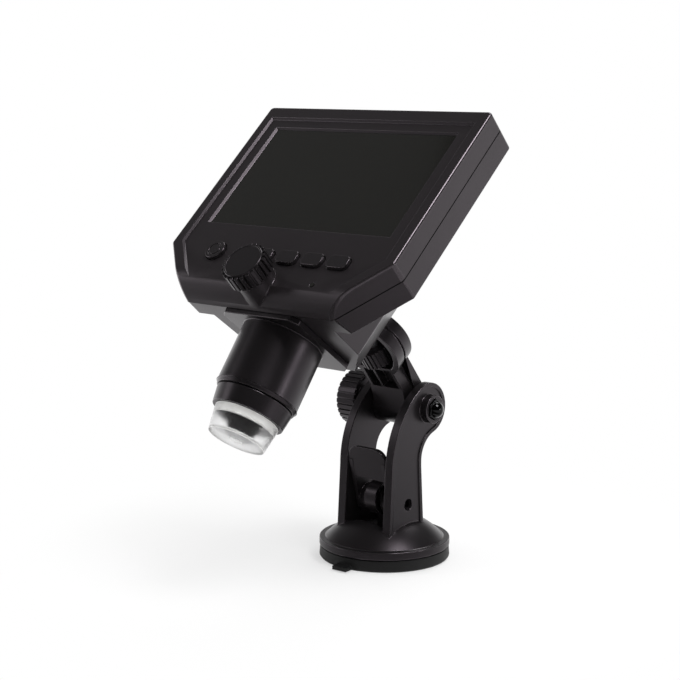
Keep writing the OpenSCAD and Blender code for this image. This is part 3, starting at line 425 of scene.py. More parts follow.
# A pale colour for the nose ring's bore and its part inside the clear cap
PALE_RING = Finish("pale_ring_faces", (0.9, 0.9, 0.88), 0.5, drift=0.03, grain=0.5, height=0.002)
NOSE = Finish("nose_black", (0.0025, 0.0023, 0.0024), 0.6, grain=0.25, height=0.0015, specular=0.04)
LENS = Finish(
    "optic_glass",
    (0.05, 0.06, 0.08),
    0.04,
    Surface.CLEAR,
    drift=0.1,
    spread=0.01,
    grain=4.0,
    height=0.0002,
    specular=0.12,
    transmission=0.5,
)
RUBBER = Finish("cup_rubber", (0.009, 0.0088, 0.009), 0.5, grain=0.5, height=0.006, specular=0.25)
STEEL = Finish(
    "plated_steel", (0.55, 0.56, 0.58), 0.32, Surface.BRUSHED, 0.1, grain=0.2, height=0.001, metallic=1.0
)
DARK_STEEL = Finish(
    "blackened_steel", (0.03, 0.03, 0.031), 0.16, Surface.BRUSHED, 0.2, grain=0.3, height=0.001, metallic=1.0
)
BRASS = Finish(
    "machined_brass", (0.6, 0.42, 0.16), 0.3, Surface.BRUSHED, grain=0.15, height=0.001, metallic=1.0
)
BOARD = Finish("board_green", (0.02, 0.09, 0.045), 0.4, Surface.BOARD, drift=0.35, height=0.02)
# The light board is no lamp: its glow is painted light that brightens it where it lies in shade
PAINTED_GLOW_BOARD = Finish("board_painted_glow", (0.9, 0.9, 0.88), 0.4, Surface.GLOWING, 0.04, grain=0.2, height=0.002)
FOIL = Finish("battery_foil", (0.4, 0.42, 0.45), 0.35, Surface.FOIL, grain=2.5, height=0.05, metallic=0.6)
CHIP = Finish("sensor_cover", (0.01, 0.012, 0.02), 0.08, Surface.POLISHED, grain=1.0, height=0.0005, coat=0.4)
GLOWING = Finish("lamp_phosphor", (0.94, 0.92, 0.84), 0.3, Surface.GLOWING, 0.08, grain=0.2, height=0.004)


class Frame:
    """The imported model, with its joints by name."""

    def __init__(self) -> None:
        """Loads the model and keeps its box."""
        self.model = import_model()
        low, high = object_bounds()
        self.box = [list(low), list(high)]
        self.joints = {joint["name"]: joint for joint in self.model["joints"]}
        bodies = self.model["record"]["behaviour"]["bodies"]
        self.body_of = {node: body for body, nodes in bodies.items() for node in nodes}

    def node(self, name: str) -> bpy.types.Object:
        """Gives a node's object."""
        return self.model["nodes"][name]

    def axis(self, joint: str) -> Vector:
        """Gives a joint's direction."""
        return Vector(self.joints[joint]["axis"]).normalized()

    def place(self, joint: str) -> Vector:
        """Gives a point on a hinge's axis."""
        return Vector(self.joints[joint]["pos_m"])

    def middle(self, node: str) -> Vector:
        """Gives the middle of a node's box."""
        low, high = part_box(node)
        return (low + high) / 2

    def along(self, node: str, axis: Vector) -> tuple[float, float]:
        """Gives the lowest and highest places of a node's corners along a unit direction."""
        spots = [vertex.co.dot(axis) for vertex in self.node(node).data.vertices]
        return min(spots), max(spots)

    def reach(self, node: str, joint: str) -> float:
        """Measures how far a node reaches from a hinge's axis.

        Args:
            node: the node's name.
            joint: the hinge's name.

        Returns:
            The largest distance of its corners from the axis.
        """
        axis = self.axis(joint)
        origin = self.place(joint)
        arms = [vertex.co - origin for vertex in self.node(node).data.vertices]
        return max((arm - axis * arm.dot(axis)).length for arm in arms)

    def stand_in(self, piece: bpy.types.Object, node: str) -> None:
        """Lets a piece ride on a node's body and stand for the node."""
        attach(piece, self.body_of[node])
        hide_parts(node)

    def islands(self, node: str) -> list[Vector]:
        """Finds the middle of each separate solid in a node.

        Args:
            node: the node's name.

        Returns:
            One point for each solid.
        """
        shell = bmesh.new()
        shell.from_mesh(self.node(node).data)
        bmesh.ops.remove_doubles(shell, verts=shell.verts, dist=MERGE)
        left = set(shell.verts)
        middles = []
        while left:
            stack = [left.pop()]
            group = []
            while stack:
                vertex = stack.pop()
                group.append(vertex.co.copy())
                near = {edge.other_vert(vertex) for edge in vertex.link_edges} & left
                left -= near
                stack.extend(near)
            low = Vector([min(spot[i] for spot in group) for i in range(3)])
            high = Vector([max(spot[i] for spot in group) for i in range(3)])
            middles.append((low + high) / 2)
        shell.free()
        return sorted(middles, key=lambda spot: (round(spot.x, 5), round(spot.z, 5)))


def basis(origin: Vector, up: Vector, right: Vector = ACROSS) -> Matrix:
    """Makes the transform of a local frame whose Z is `up` and whose X is `right`.

    Args:
        origin: where the local origin goes.
        up: the direction of the local Z axis.
        right: the direction of the local X axis.

    Returns:
        The transform from local to shared coordinates.
    """
    back = up.cross(right).normalized()
    turn = Matrix((right, back, up)).transposed().to_4x4()
    return Matrix.Translation(origin) @ turn


def link(name: str, mesh: bpy.types.Mesh) -> bpy.types.Object:
    """Puts a mesh into the scene.

    Args:
        name: the new object's name.
        mesh: its mesh.

    Returns:
        The new object.
    """
    piece = bpy.data.objects.new(name, mesh)
    bpy.context.scene.collection.objects.link(piece)
    return piece


def freeze(piece: bpy.types.Object) -> bpy.types.Object:
    """Turns an object's modifiers into a plain mesh.

    Args:
        piece: the object with its modifiers.

    Returns:
        The same object, with a plain mesh and no modifiers.
    """
    graph = bpy.context.evaluated_depsgraph_get()
    graph.update()
    mesh = bpy.data.meshes.new_from_object(piece.evaluated_get(graph), depsgraph=graph)
    old = piece.data
    piece.modifiers.clear()
    piece.data = mesh
    mesh.name = piece.name
    bpy.data.meshes.remove(old)
    return piece


def paint(piece: bpy.types.Object, *finishes: Finish) -> None:
    """Gives an object its finishes.

    Args:
        piece: the object.
        finishes: one finish for each material slot.
    """
    piece.data.materials.clear()
    for finish in finishes:
        piece.data.materials.append(finish.material())


@dataclass
class SoftEdges:
    """Rounded edges for a copy of a solid; sizes are in millimetres, and the point's angle in degrees.

    The edges that bound the solid's whole form get the outer width, except along a seam, and all
    other edges get the plain one. Narrow faces between two sharp edges are rims, which take the rounded
    edges' glossier finish, with its painted highlight, and have fine edges of their own. A face that runs
    to a point stays sharp. A bounding edge may pass a point by `near`, and end before it by `slack`,
    a share of its length.
    """

    width: float = 0.3
    outer: float = 0.0
    rim: float = 1.6
    fine: float = 0.12
    steps: int = 3
    point: float = 30.0
    near: float = 0.05
    slack: float = 0.01

    @staticmethod
    def _sharp(edge: bmesh.types.BMEdge) -> bool:
        """Says whether an edge's faces meet at a sharp angle."""
        return edge.calc_face_angle(0.0) > SHARP

    @staticmethod
    def _bounding(shell: bmesh.types.BMesh) -> list[tuple[Vector, Vector]]:
        """Finds the sharp edges of the solid's hull.

        Args:
            shell: the solid.

        Returns:
            The two ends of each edge.
        """
        hull = bmesh.new()
        for vertex in shell.verts:
            hull.verts.new(vertex.co)
        bmesh.ops.convex_hull(hull, input=hull.verts)
        sharp = [edge for edge in hull.edges if edge.calc_face_angle(0.0) > SHARP / 2]
        ends = [(edge.verts[0].co.copy(), edge.verts[1].co.copy()) for edge in sharp]
        hull.free()
        return ends

    def _on_bounds(self, spot: Vector, bounds: Sequence[tuple[Vector, Vector]]) -> bool:
        """Says whether a point lies on one of the bounding edges.

        Args:
            spot: the point.
            bounds: the two ends of each bounding edge.

        Returns:
            True where one edge passes near the point.
        """
        for first, second in bounds:
            foot, part = intersect_point_line(spot, first, second)
            if -self.slack < part < 1 + self.slack and (spot - foot).length < self.near * MM:
                return True
        return False

    def _on_seam(self, spot: Vector, seam: Seam | None) -> bool:
        """Says whether a point lies in the seam's groove."""
        return seam is not None and abs(spot.dot(seam[0]) - seam[1]) < self.width * MM

    def _is_rim(self, face: bmesh.types.BMFace) -> bool:
        """Says whether a face is a narrow one between two sharp edges.

        Args:
            face: the face.

        Returns:
            True where its two longest edges are sharp and it is no deeper than a rim.
        """
        second, longest = sorted(face.edges, key=lambda edge: edge.calc_length())[-2:]
        if not (self._sharp(second) and self._sharp(longest)):
            return False
        start, end = (vertex.co for vertex in longest.verts)
        inward = face.normal.cross(end - start).normalized()
        return max(abs((vertex.co - start).dot(inward)) for vertex in face.verts) < self.rim * MM

    def _pointed(self, edge: bmesh.types.BMEdge) -> bool:
        """Says whether one of the edge's faces runs to a point at one of its ends."""
        corners = [loop for face in edge.link_faces for loop in face.loops if loop.vert in edge.verts]
        return min(loop.calc_angle() for loop in corners) < math.radians(self.point)

    def _weigh(self, shell: bmesh.types.BMesh, seam: Seam | None) -> float:
        """Gives each sharp edge its share of the largest width, and marks the rims.

        Args:
            shell: the solid.
            seam: the direction and place of a seam that keeps the plain width.

        Returns:
            The largest width in metres.
        """
        layer = shell.edges.layers.float.new("bevel_weight_edge")
        for face in shell.faces:
            face.material_index = Slot.EDGE if self._is_rim(face) else Slot.FACE
        widest = max(self.width, self.outer)
        bounds = self._bounding(shell) if self.outer > self.width else []
        for edge in shell.edges:
            if not self._sharp(edge):
                continue
            if self._pointed(edge):
                edge.smooth = False
                continue
            middle = (edge.verts[0].co + edge.verts[1].co) / 2
            size = self.fine if any(face.material_index for face in edge.link_faces) else self.width
            if bounds and not self._on_seam(middle, seam) and self._on_bounds(middle, bounds):
                size = widest
            edge[layer] = size / widest
        return widest * MM

    def copy(
        self, frame: Frame, node: str, finish: Finish, edge: Finish, seam: Seam | None = None
    ) -> bpy.types.Object:
        """Makes a copy of a node with rounded edges, which stands for the node.

        Args:
            frame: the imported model.
            node: the node's name.
            finish: the finish of its faces.
            edge: the finish of its rounded edges.
            seam: the direction and place of a seam that shows as a dark groove.

        Returns:
            The new piece.
        """
        mesh = frame.node(node).data.copy()
        if "custom_normal" in mesh.attributes:
            mesh.attributes.remove(mesh.attributes["custom_normal"])
        shell = bmesh.new()
        shell.from_mesh(mesh)
        bmesh.ops.remove_doubles(shell, verts=shell.verts, dist=MERGE)
        bmesh.ops.dissolve_limit(shell, angle_limit=FLAT, verts=shell.verts, edges=shell.edges)
        for face in shell.faces:
            face.smooth = True
        widest = self._weigh(shell, seam)
        shell.to_mesh(mesh)
        shell.free()
        piece = link(f"{node}_form", mesh)
        paint(piece, finish, edge, SEAM)
        rounding = piece.modifiers.new("rounding", "BEVEL")
        rounding.width = widest
        rounding.segments = self.steps
        rounding.limit_method = "WEIGHT"
        rounding.use_clamp_overlap = False
        rounding.loop_slide = True
        rounding.material = Slot.EDGE
        rounding.harden_normals = True
        freeze(piece)
        for face in piece.data.polygons:
            if face.material_index == Slot.EDGE and self._on_seam(face.center, seam):
                face.material_index = Slot.SEAM
        frame.stand_in(piece, node)
        LOG.info("%s: rounded up to %.2f mm, %d faces", node, widest / MM, len(piece.data.polygons))
        return piece


def dress(frame: Frame, finish: Finish, nodes: Iterable[str]) -> None:
    """Gives carried-over nodes a finish.

    Args:
        frame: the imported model.
        finish: their finish.
        nodes: the nodes' names.
    """
    for name in nodes:
        paint(frame.node(name), finish)
        LOG.info("%s: %s", name, finish.name)


def lathe(name: str, profile: Profile, steps: int = 96) -> bpy.types.Mesh:
    """Turns a profile of (radius, height) points about Z.

    Args:
        name: the mesh's name.
        profile: the points in metres, which begin and end on the axis or end where they began.
        steps: how many sides the round has.

    Returns:
        A closed mesh.
    """
    shell = bmesh.new()
    rings = []
    turns = [2 * math.pi * i / steps for i in range(steps)]
    for radius, height in profile:
        if radius < MERGE:
            rings.append([shell.verts.new((0, 0, height))])
            continue
        round_spots = [(radius * math.cos(turn), radius * math.sin(turn), height) for turn in turns]
        rings.append([shell.verts.new(spot) for spot in round_spots])
    for lower, upper in zip(rings, rings[1:]):
        if len(lower) == len(upper) == 1:
            continue
        for i in range(steps):
            j = (i + 1) % steps
            below = [lower[i % len(lower)], lower[j % len(lower)]]
            above = [upper[j % len(upper)], upper[i % len(upper)]]
            shell.faces.new(list(dict.fromkeys(below + above)))
    bmesh.ops.remove_doubles(shell, verts=shell.verts, dist=MERGE)
    bmesh.ops.recalc_face_normals(shell, faces=shell.faces)
    for face in shell.faces:
        face.smooth = True
    mesh = bpy.data.meshes.new(name)
    shell.to_mesh(mesh)
    shell.free()
    mesh.set_sharp_from_angle(angle=SHARP)
    return mesh


class Growth(Graph):
    """A Geometry Nodes tree with named sizes."""

    def __init__(self, name: str) -> None:
        """Starts a tree that takes a mesh and gives one back."""
        super().__init__(bpy.data.node_groups.new(name, "GeometryNodeTree"))
        for way in ("INPUT", "OUTPUT"):
            self.tree.interface.new_socket(name="Geometry", in_out=way, socket_type="NodeSocketGeometry")
        self.inlet = self.add("NodeGroupInput", {}, {})
        self.idents: dict[str, str] = {}

    def size(self, name: str, kind: str = "NodeSocketFloat") -> Sock:
        """Adds a named input to the tree.

        Args:
            name: the input's name.
            kind: the socket's type.

        Returns:
            The input's socket inside the tree.
        """
        made = self.tree.interface.new_socket(name=name, in_out="INPUT", socket_type=kind)
        self.idents[name] = made.identifier
        return Sock(self, self.inlet.outputs[name])

    def source(self) -> Sock:
        """Gives the mesh that the tree starts from."""
        return Sock(self, self.inlet.outputs["Geometry"])

    def vector(self, **parts: Value) -> Sock:
        """Makes a vector of X, Y and Z parts, zero where none is given."""
        return self.node("ShaderNodeCombineXYZ", {}, parts)

    def move(self, geometry: Sock, **inputs: Value) -> Sock:
        """Moves, turns or scales a geometry."""
        return self.node("GeometryNodeTransform", {}, {"Geometry": geometry, **inputs})

    def join(self, *pieces: Sock) -> Sock:
        """Joins geometries into one."""
        return self.node("GeometryNodeJoinGeometry", {}, {"Geometry": list(pieces)})

    def aim(self, axis: str, pivot: str, **inputs: Value) -> Sock:
        """Turns an axis towards a vector."""
        return self.node("FunctionNodeAlignRotationToVector", {"axis": axis, "pivot_axis": pivot}, inputs)

    def cylinder(self, sides: int, radius: Sock, depth: Sock) -> Sock:
        """Makes an upright cylinder about the origin."""
        inputs = {"Vertices": sides, "Radius": radius, "Depth": depth}
        return self.node("GeometryNodeMeshCylinder", {}, inputs)

    def spread(self, points: Sock, piece: Sock, facing: Sock) -> Sock:
        """Puts a turned copy of a piece on each point."""
        inputs = {"Points": points, "Instance": piece, "Rotation": facing}
        return self.node("GeometryNodeInstanceOnPoints", {}, inputs)

    def close(self, geometry: Sock) -> None:
        """Ends the tree in real meshes with a material input.

        Args:
            geometry: the geometry to give back.
        """
        finish = self.size("Finish", "NodeSocketMaterial")
        real = self.node("GeometryNodeRealizeInstances", {}, {"Geometry": geometry})
        dressed = self.node("GeometryNodeSetMaterial", {}, {"Geometry": real, "Material": finish})
        self.add("NodeGroupOutput", {}, {"Geometry": dressed})

    def grow(
        self, name: str, mesh: bpy.types.Mesh, sizes: dict[str, Any], finish: Finish
    ) -> bpy.types.Object:
        """Runs the tree on a mesh.

        Args:
            name: the new object's name.
            mesh: the mesh to start from.
            sizes: a value for each named input.
            finish: the material.

        Returns:
            The grown object, as a plain mesh.
        """
        piece = link(name, mesh)
        modifier = piece.modifiers.new(name, "NODES")
        modifier.node_group = self.tree
        for key, value in {**sizes, "Finish": finish.material()}.items():
            modifier[self.idents[key]] = value
        return freeze(piece)


# Steps, sides and shares of the grown pieces; a shank reaches a little into its screw's head
CORNER_STEPS = 3
HEAD_SIDES = 40
SHANK_SIDES = 24
SLOT_REACH = 1.3
SLOT_HEIGHT = 0.9
NEARLY_HALF = 0.499
DOME_SIDES = 20
DOME_RINGS = 12
DOME_RADIUS = 0.4
DOME_HEIGHT = 0.4
DOME_DROP = 0.35


def grip_tree() -> Growth:
    """Builds the tree that sets flat ribs round a turned core.

    Returns:
        The tree.
    """
    tree = Growth("ribbed_grip")
    ribs = tree.size("Ribs", "NodeSocketInt")
    radius = tree.size("Core radius")
    low = tree.size("Low end")
    length = tree.size("Rib length")
    width = tree.size("Rib width")
    depth = tree.size("Rib depth")
    corner = tree.size("Corner")
    ring = tree.node("GeometryNodeMeshCircle", {}, {"Vertices": ribs, "Radius": radius})
    ring = tree.move(ring, Translation=tree.vector(Z=low + length * 0.5))
    sides = {"Width": length, "Height": width}
    outline = tree.node("GeometryNodeCurvePrimitiveQuadrilateral", {"mode": "RECTANGLE"}, sides)
    corners = {"Curve": outline, "Count": CORNER_STEPS, "Radius": corner, "Limit Radius": True}
    rounded = tree.node("GeometryNodeFilletCurve", {"mode": "POLY"}, corners)
    foot = tree.node("GeometryNodeFillCurve", {"mode": "NGONS"}, {"Curve": rounded})
    rise = {"Mesh": foot, "Offset Scale": depth, "Individual": False}
    block = tree.node("GeometryNodeExtrudeMesh", {"mode": "FACES"}, rise)
    under = tree.node("GeometryNodeFlipFaces", {}, {"Mesh": foot})
    whole = {"Geometry": tree.join(block, under), "Distance": MERGE}
    rib = tree.node("GeometryNodeMergeByDistance", {}, whole)
    spot = tree.node("GeometryNodeInputPosition", {}, {})
    flat = tree.node("ShaderNodeVectorMath", {"operation": "MULTIPLY"}, {0: spot, 1: (1.0, 1.0, 0.0)})
    facing = tree.aim("Z", "AUTO", Vector=flat)
    upright = tree.aim("X", "Z", Rotation=facing, Vector=(0.0, 0.0, 1.0))
    tree.close(tree.join(tree.source(), tree.spread(ring, rib, upright)))
    return tree


def screw_tree() -> Growth:
    """Builds the tree that puts a cross-head screw on each point.

    Returns:
        The tree.
    """
    tree = Growth("screw_row")
    head_radius = tree.size("Head radius")
    head_height = tree.size("Head height")
    shank_radius = tree.size("Shank radius")
    shank_length = tree.size("Shank length")
    slot = tree.size("Slot width")
    axis = tree.size("Outward", "NodeSocketVector")
    head = tree.cylinder(HEAD_SIDES, head_radius, head_height)
    bar_size = tree.vector(X=head_radius * SLOT_REACH, Y=slot, Z=head_height * SLOT_HEIGHT)
    bar = tree.node("GeometryNodeMeshCube", {}, {"Size": bar_size})
    cross = tree.move(bar, Rotation=(0.0, 0.0, math.pi / 2))
    raised = tree.vector(Z=head_height * 0.5)
    cutters = [tree.move(one, Translation=raised) for one in (bar, cross)]
    slotting = {"operation": "DIFFERENCE", "solver": "EXACT"}
    cut = tree.node("GeometryNodeMeshBoolean", slotting, {"Mesh 1": head, "Mesh 2": cutters})
    shank = tree.cylinder(SHANK_SIDES, shank_radius, shank_length)
    drop = tree.vector(Z=(head_height + shank_length) * -NEARLY_HALF)
    screw = tree.join(cut, tree.move(shank, Translation=drop))
    tree.close(tree.spread(tree.source(), screw, tree.aim("Z", "AUTO", Vector=axis)))
    return tree


def lamp_tree() -> Growth:
    """Builds the tree that sets lamps with small domes in a ring.

    Returns:
        The tree.
    """
    tree = Growth("lamp_ring")
    lamps = tree.size("Lamps", "NodeSocketInt")
    radius = tree.size("Ring radius")
    side = tree.size("Side")
    height = tree.size("Height")
    ring = tree.node("GeometryNodeMeshCircle", {}, {"Vertices": lamps, "Radius": radius})
    block = tree.node("GeometryNodeMeshCube", {}, {"Size": tree.vector(X=side, Y=side, Z=height)})
    ball = {"Segments": DOME_SIDES, "Rings": DOME_RINGS, "Radius": side * DOME_RADIUS}
    dome = tree.node("GeometryNodeMeshUVSphere", {}, ball)
    drop = tree.vector(Z=height * -DOME_DROP)
    dome = tree.move(dome, Scale=(1.0, 1.0, DOME_HEIGHT), Translation=drop)
    spot = tree.node("GeometryNodeInputPosition", {}, {})
    facing = tree.aim("X", "Z", Vector=spot)
    tree.close(tree.spread(ring, tree.join(block, dome), facing))
    return tree


def points_mesh(name: str, spots: Sequence[Vector]) -> bpy.types.Mesh:
    """Makes a mesh of loose points for a tree to start from.

    Args:
        name: the mesh's name.
        spots: the points.

    Returns:
        The mesh.
    """
    mesh = bpy.data.meshes.new(name)
    mesh.from_pydata([tuple(spot) for spot in spots], [], [])
    return mesh


@dataclass
class Grip:
    """A ribbed grip that stands for a node; sizes are in millimetres.

    Fill is a rib's share of the pitch, and the gaps are what a rib leaves free at its two ends. A rib's
    foot is sunk into the core, and its top stays a little short of the node's radius.
    """

    node: str
    joint: str
    ribs: int
    depth: float
    fill: float
    gaps: tuple[float, float]
    softness: float = 0.14
    steps: int = 2
    corner: float = 0.3
    sunk: float = 0.1
    short: float = 0.02

    def measure(self, frame: Frame, outward: Vector) -> tuple[Vector, float, float]:
        """Measures the node about its hinge.

        Args:
            frame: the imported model.
            outward: the direction of the grip's face.

        Returns:
            The foot of the grip on its axis in metres, and its radius and length in millimetres.
        """
        low, high = frame.along(self.node, outward)
        origin = frame.place(self.joint)
        foot = origin + outward * (low - origin.dot(outward))
        return foot, frame.reach(self.node, self.joint) / MM, (high - low) / MM

    def build(
        self, frame: Frame, tree: Growth, place: Matrix, profile: Profile, radius: float, length: float
    ) -> None:
        """Grows the grip and puts it in place.

        Args:
            frame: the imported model.
            tree: the ribbed grip's tree.
            place: the transform from the grip's own axes.
            profile: the turned core's (radius, height) points in millimetres.
            radius: the grip's radius over its ribs.
            length: the grip's length.
        """
        core = lathe(f"{self.node}_core", [(wide * MM, height * MM) for wide, height in profile])
        pitch = 2 * math.pi * radius / self.ribs
        sizes = {
            "Ribs": self.ribs,
            "Core radius": (radius - self.depth - self.sunk) * MM,
            "Low end": self.gaps[0] * MM,
            "Rib length": (length - sum(self.gaps)) * MM,
            "Rib width": pitch * self.fill * MM,
            "Rib depth": (self.depth + self.sunk - self.short) * MM,
            "Corner": self.corner * MM,
        }
        piece = tree.grow(f"{self.node}_form", core, sizes, BLACK)
        rounding = piece.modifiers.new("rounding", "BEVEL")
        rounding.width = self.softness * MM
        rounding.segments = self.steps
        rounding.angle_limit = RIB_CORNER
        freeze(piece)
        piece.data.transform(place)
        frame.stand_in(piece, self.node)
        LOG.info("%s: %d ribs, radius %.1f mm", self.node, self.ribs, radius)


@dataclass
class Screws:
    """Cross-head screws that stand for a node's solids; sizes are in millimetres."""

    node: str
    head_radius: float
    head_height: float
    shank_radius: float
    slot: float = 0.7

    def build(self, frame: Frame, tree: Growth, outward: Vector) -> None:
        """Grows the screws where the node's solids are.

        Args:
            frame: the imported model.
            tree: the screws' tree.
            outward: the direction that the heads face.
        """
        low, high = frame.along(self.node, outward)
        middles = frame.islands(self.node)
        tops = [spot.dot(outward) for spot in middles]
        reach = (high - low - (max(tops) - min(tops))) / 2
        heads = [spot + outward * (reach - self.head_height * MM / 2) for spot in middles]
        sizes = {
            "Head radius": self.head_radius * MM,
            "Head height": self.head_height * MM,
            "Shank radius": self.shank_radius * MM,
            "Shank length": 2 * reach - self.head_height * MM,
            "Slot width": self.slot * MM,
            "Outward": tuple(outward),
        }
        piece = tree.grow(f"{self.node}_form", points_mesh(f"{self.node}_spots", heads), sizes, STEEL)
        frame.stand_in(piece, self.node)
        LOG.info("%s: %d screws", self.node, len(heads))


@dataclass
class ClampKnob:
    """The ribbed knob of the tilt clamp; sizes are in millimetres.

    Its skirt is hollow about a hub, and its face is dished inside a narrow ledge. The crown is the
    rounded edge of the face, and the bend is the crown's middle point, inward and down.
    """

    grip: Grip = field(
        default_factory=lambda: Grip("clamp_knob", "clamp_knob_turn", 30, 0.6, 0.74, (0.1, 0.7))
    )
    bore: float = 3.06
    hub: float = 5.4
    hollow: float = 4.0
    skirt: float = 2.0
    lip: float = 0.2
    crown: float = 0.9
    bend: tuple[float, float] = (0.2, 0.35)
    ledge: float = 0.6
    dish: float = 0.4
    web: float = 1.2

    def build(self, frame: Frame, grips: Growth) -> None:
        """Builds the knob.

        Args:
            frame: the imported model.
            grips: the ribbed grips' tree.
        """
        outward = frame.axis(self.grip.joint) * -1
        foot, radius, length = self.grip.measure(frame, outward)
        core = radius - self.grip.depth
        rim = radius - self.skirt
        face = length - self.dish
        profile = [
            (self.bore, 0.0),
            (self.hub, 0.0),
            (self.hub, self.hollow),
            (rim, self.hollow),
            (rim, self.lip),
            (rim + self.lip, 0.0),
            (core, 0.0),
            (core, length - self.crown),
            (core - self.bend[0], length - self.bend[1]),
            (core - self.crown, length),
            (rim - self.ledge, length),
            (rim - self.ledge - self.dish, face),
            (0.0, face),
            (0.0, length - self.web),
            (self.bore, length - self.web),
            (self.bore, 0.0),
        ]
        place = basis(foot, outward, BACKWARD)
        self.grip.build(frame, grips, place, profile, radius, length)


@dataclass
class Stand:
    """The suction stand: base, lever, plunger, cup and tilt clamp."""

    body_edges: SoftEdges = field(default_factory=lambda: SoftEdges(0.3))
    small_edges: SoftEdges = field(default_factory=lambda: SoftEdges(0.25))
    knob: ClampKnob = field(default_factory=ClampKnob)

    def build(self, frame: Frame, grips: Growth) -> None:
        """Dresses the stand.

        Args:
            frame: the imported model.
            grips: the ribbed grips' tree.
        """
        self.body_edges.copy(frame, "base_body", STAND, STAND_EDGE_HIGHLIGHT)
        self.small_edges.copy(frame, "lever", STAND, STAND_EDGE_HIGHLIGHT)
        self.small_edges.copy(frame, "plunger", BLACK, BLACK_EDGE_HIGHLIGHT)
        self.small_edges.copy(frame, "clamp_bolt", DARK_STEEL, DARK_STEEL)
        self.body_edges.copy(frame, "suction_cup", RUBBER, RUBBER)
        dress(frame, DARK_STEEL, ["lever_pin"])
        self.knob.build(frame, grips)


@dataclass
class ThumbWheel:
    """The ribbed wheel of the swivel clamp; sizes are in millimetres."""

    grip: Grip = field(
        default_factory=lambda: Grip("thumb_wheel", "thumb_wheel_turn", 26, 0.6, 0.58, (0.3, 0.3))
    )
    bore: float = 3.12
    chamfer: float = 0.5
    web: float = 0.8

    def build(self, frame: Frame, grips: Growth) -> None:
        """Builds the wheel.

        Args:
            frame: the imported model.
            grips: the ribbed grips' tree.
        """
        up = frame.axis(self.grip.joint)
        foot, radius, length = self.grip.measure(frame, up)
        core = radius - self.grip.depth
        profile = [
            (0.0, 0.0),
            (core - self.chamfer, 0.0),
            (core, self.chamfer),
            (core, length - self.chamfer),
            (core - self.chamfer, length),
            (self.bore, length),
            (self.bore, self.web),
            (0.0, self.web),
        ]
        self.grip.build(frame, grips, basis(foot, up), profile, radius, length)


@dataclass
class Arm:
    """The arm with its round head, thumb wheel and clamp stud."""

    edges: SoftEdges = field(default_factory=lambda: SoftEdges(0.3))
    wheel: ThumbWheel = field(default_factory=ThumbWheel)
    screws: Screws = field(default_factory=lambda: Screws("arm_screws", 2.1, 1.5, 1.0))

    def build(self, frame: Frame, grips: Growth, screws: Growth) -> None:
        """Dresses the arm.

        Args:
            frame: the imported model.
            grips: the ribbed grips' tree.
            screws: the screws' tree.
        """
        self.edges.copy(frame, "arm_front", STAND, STAND_EDGE_HIGHLIGHT)
        self.edges.copy(frame, "arm_cover", STAND, STAND_EDGE_HIGHLIGHT)
        dress(frame, STEEL, ["clamp_stud"])
        backward = ACROSS.cross(frame.axis("thumb_wheel_turn")) * -1
        self.screws.build(frame, screws, backward)
        self.wheel.build(frame, grips)


@dataclass
class ScreenHead:
    """The screen head's housing, glass, keys and what is inside."""

    front_edges: SoftEdges = field(default_factory=lambda: SoftEdges(0.3, outer=1.1, steps=4))
    rear_edges: SoftEdges = field(default_factory=lambda: SoftEdges(0.25, outer=0.5))
    key_edges: SoftEdges = field(default_factory=lambda: SoftEdges(0.3))
    screws: Screws = field(default_factory=lambda: Screws("shell_screws", 2.3, 1.6, 1.2))
    keys: tuple[str, ...] = ("power_button", "key_one", "key_two", "key_three", "key_four")

    def build(self, frame: Frame, screws: Growth) -> None:
        """Dresses the head.

        Args:
            frame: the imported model.
            screws: the screws' tree.
        """
        outward = frame.axis("focus_turn")
        seam = (outward, frame.along("front_shell", outward)[0])
        self.front_edges.copy(frame, "front_shell", HOUSING, HOUSING_EDGE_HIGHLIGHT, seam)
        self.rear_edges.copy(frame, "rear_shell", HOUSING, HOUSING_EDGE_HIGHLIGHT, seam)
        for node in self.keys:
            self.key_edges.copy(frame, node, KEYS, HOUSING_EDGE_HIGHLIGHT)
        dress(frame, GLASS, ["screen_window", "indicator_lens"])
        dress(frame, CHIP, ["lcd_panel", "sensor_chip"])
        dress(frame, BOARD, ["main_board", "sensor_board"])
        dress(frame, FOIL, ["battery"])
        dress(frame, BRASS, ["tripod_bush"])
        dress(frame, STEEL, ["tact_switches", "usb_socket", "card_socket", "board_screws", "sensor_screws"])
        self.screws.build(frame, screws, outward * -1)


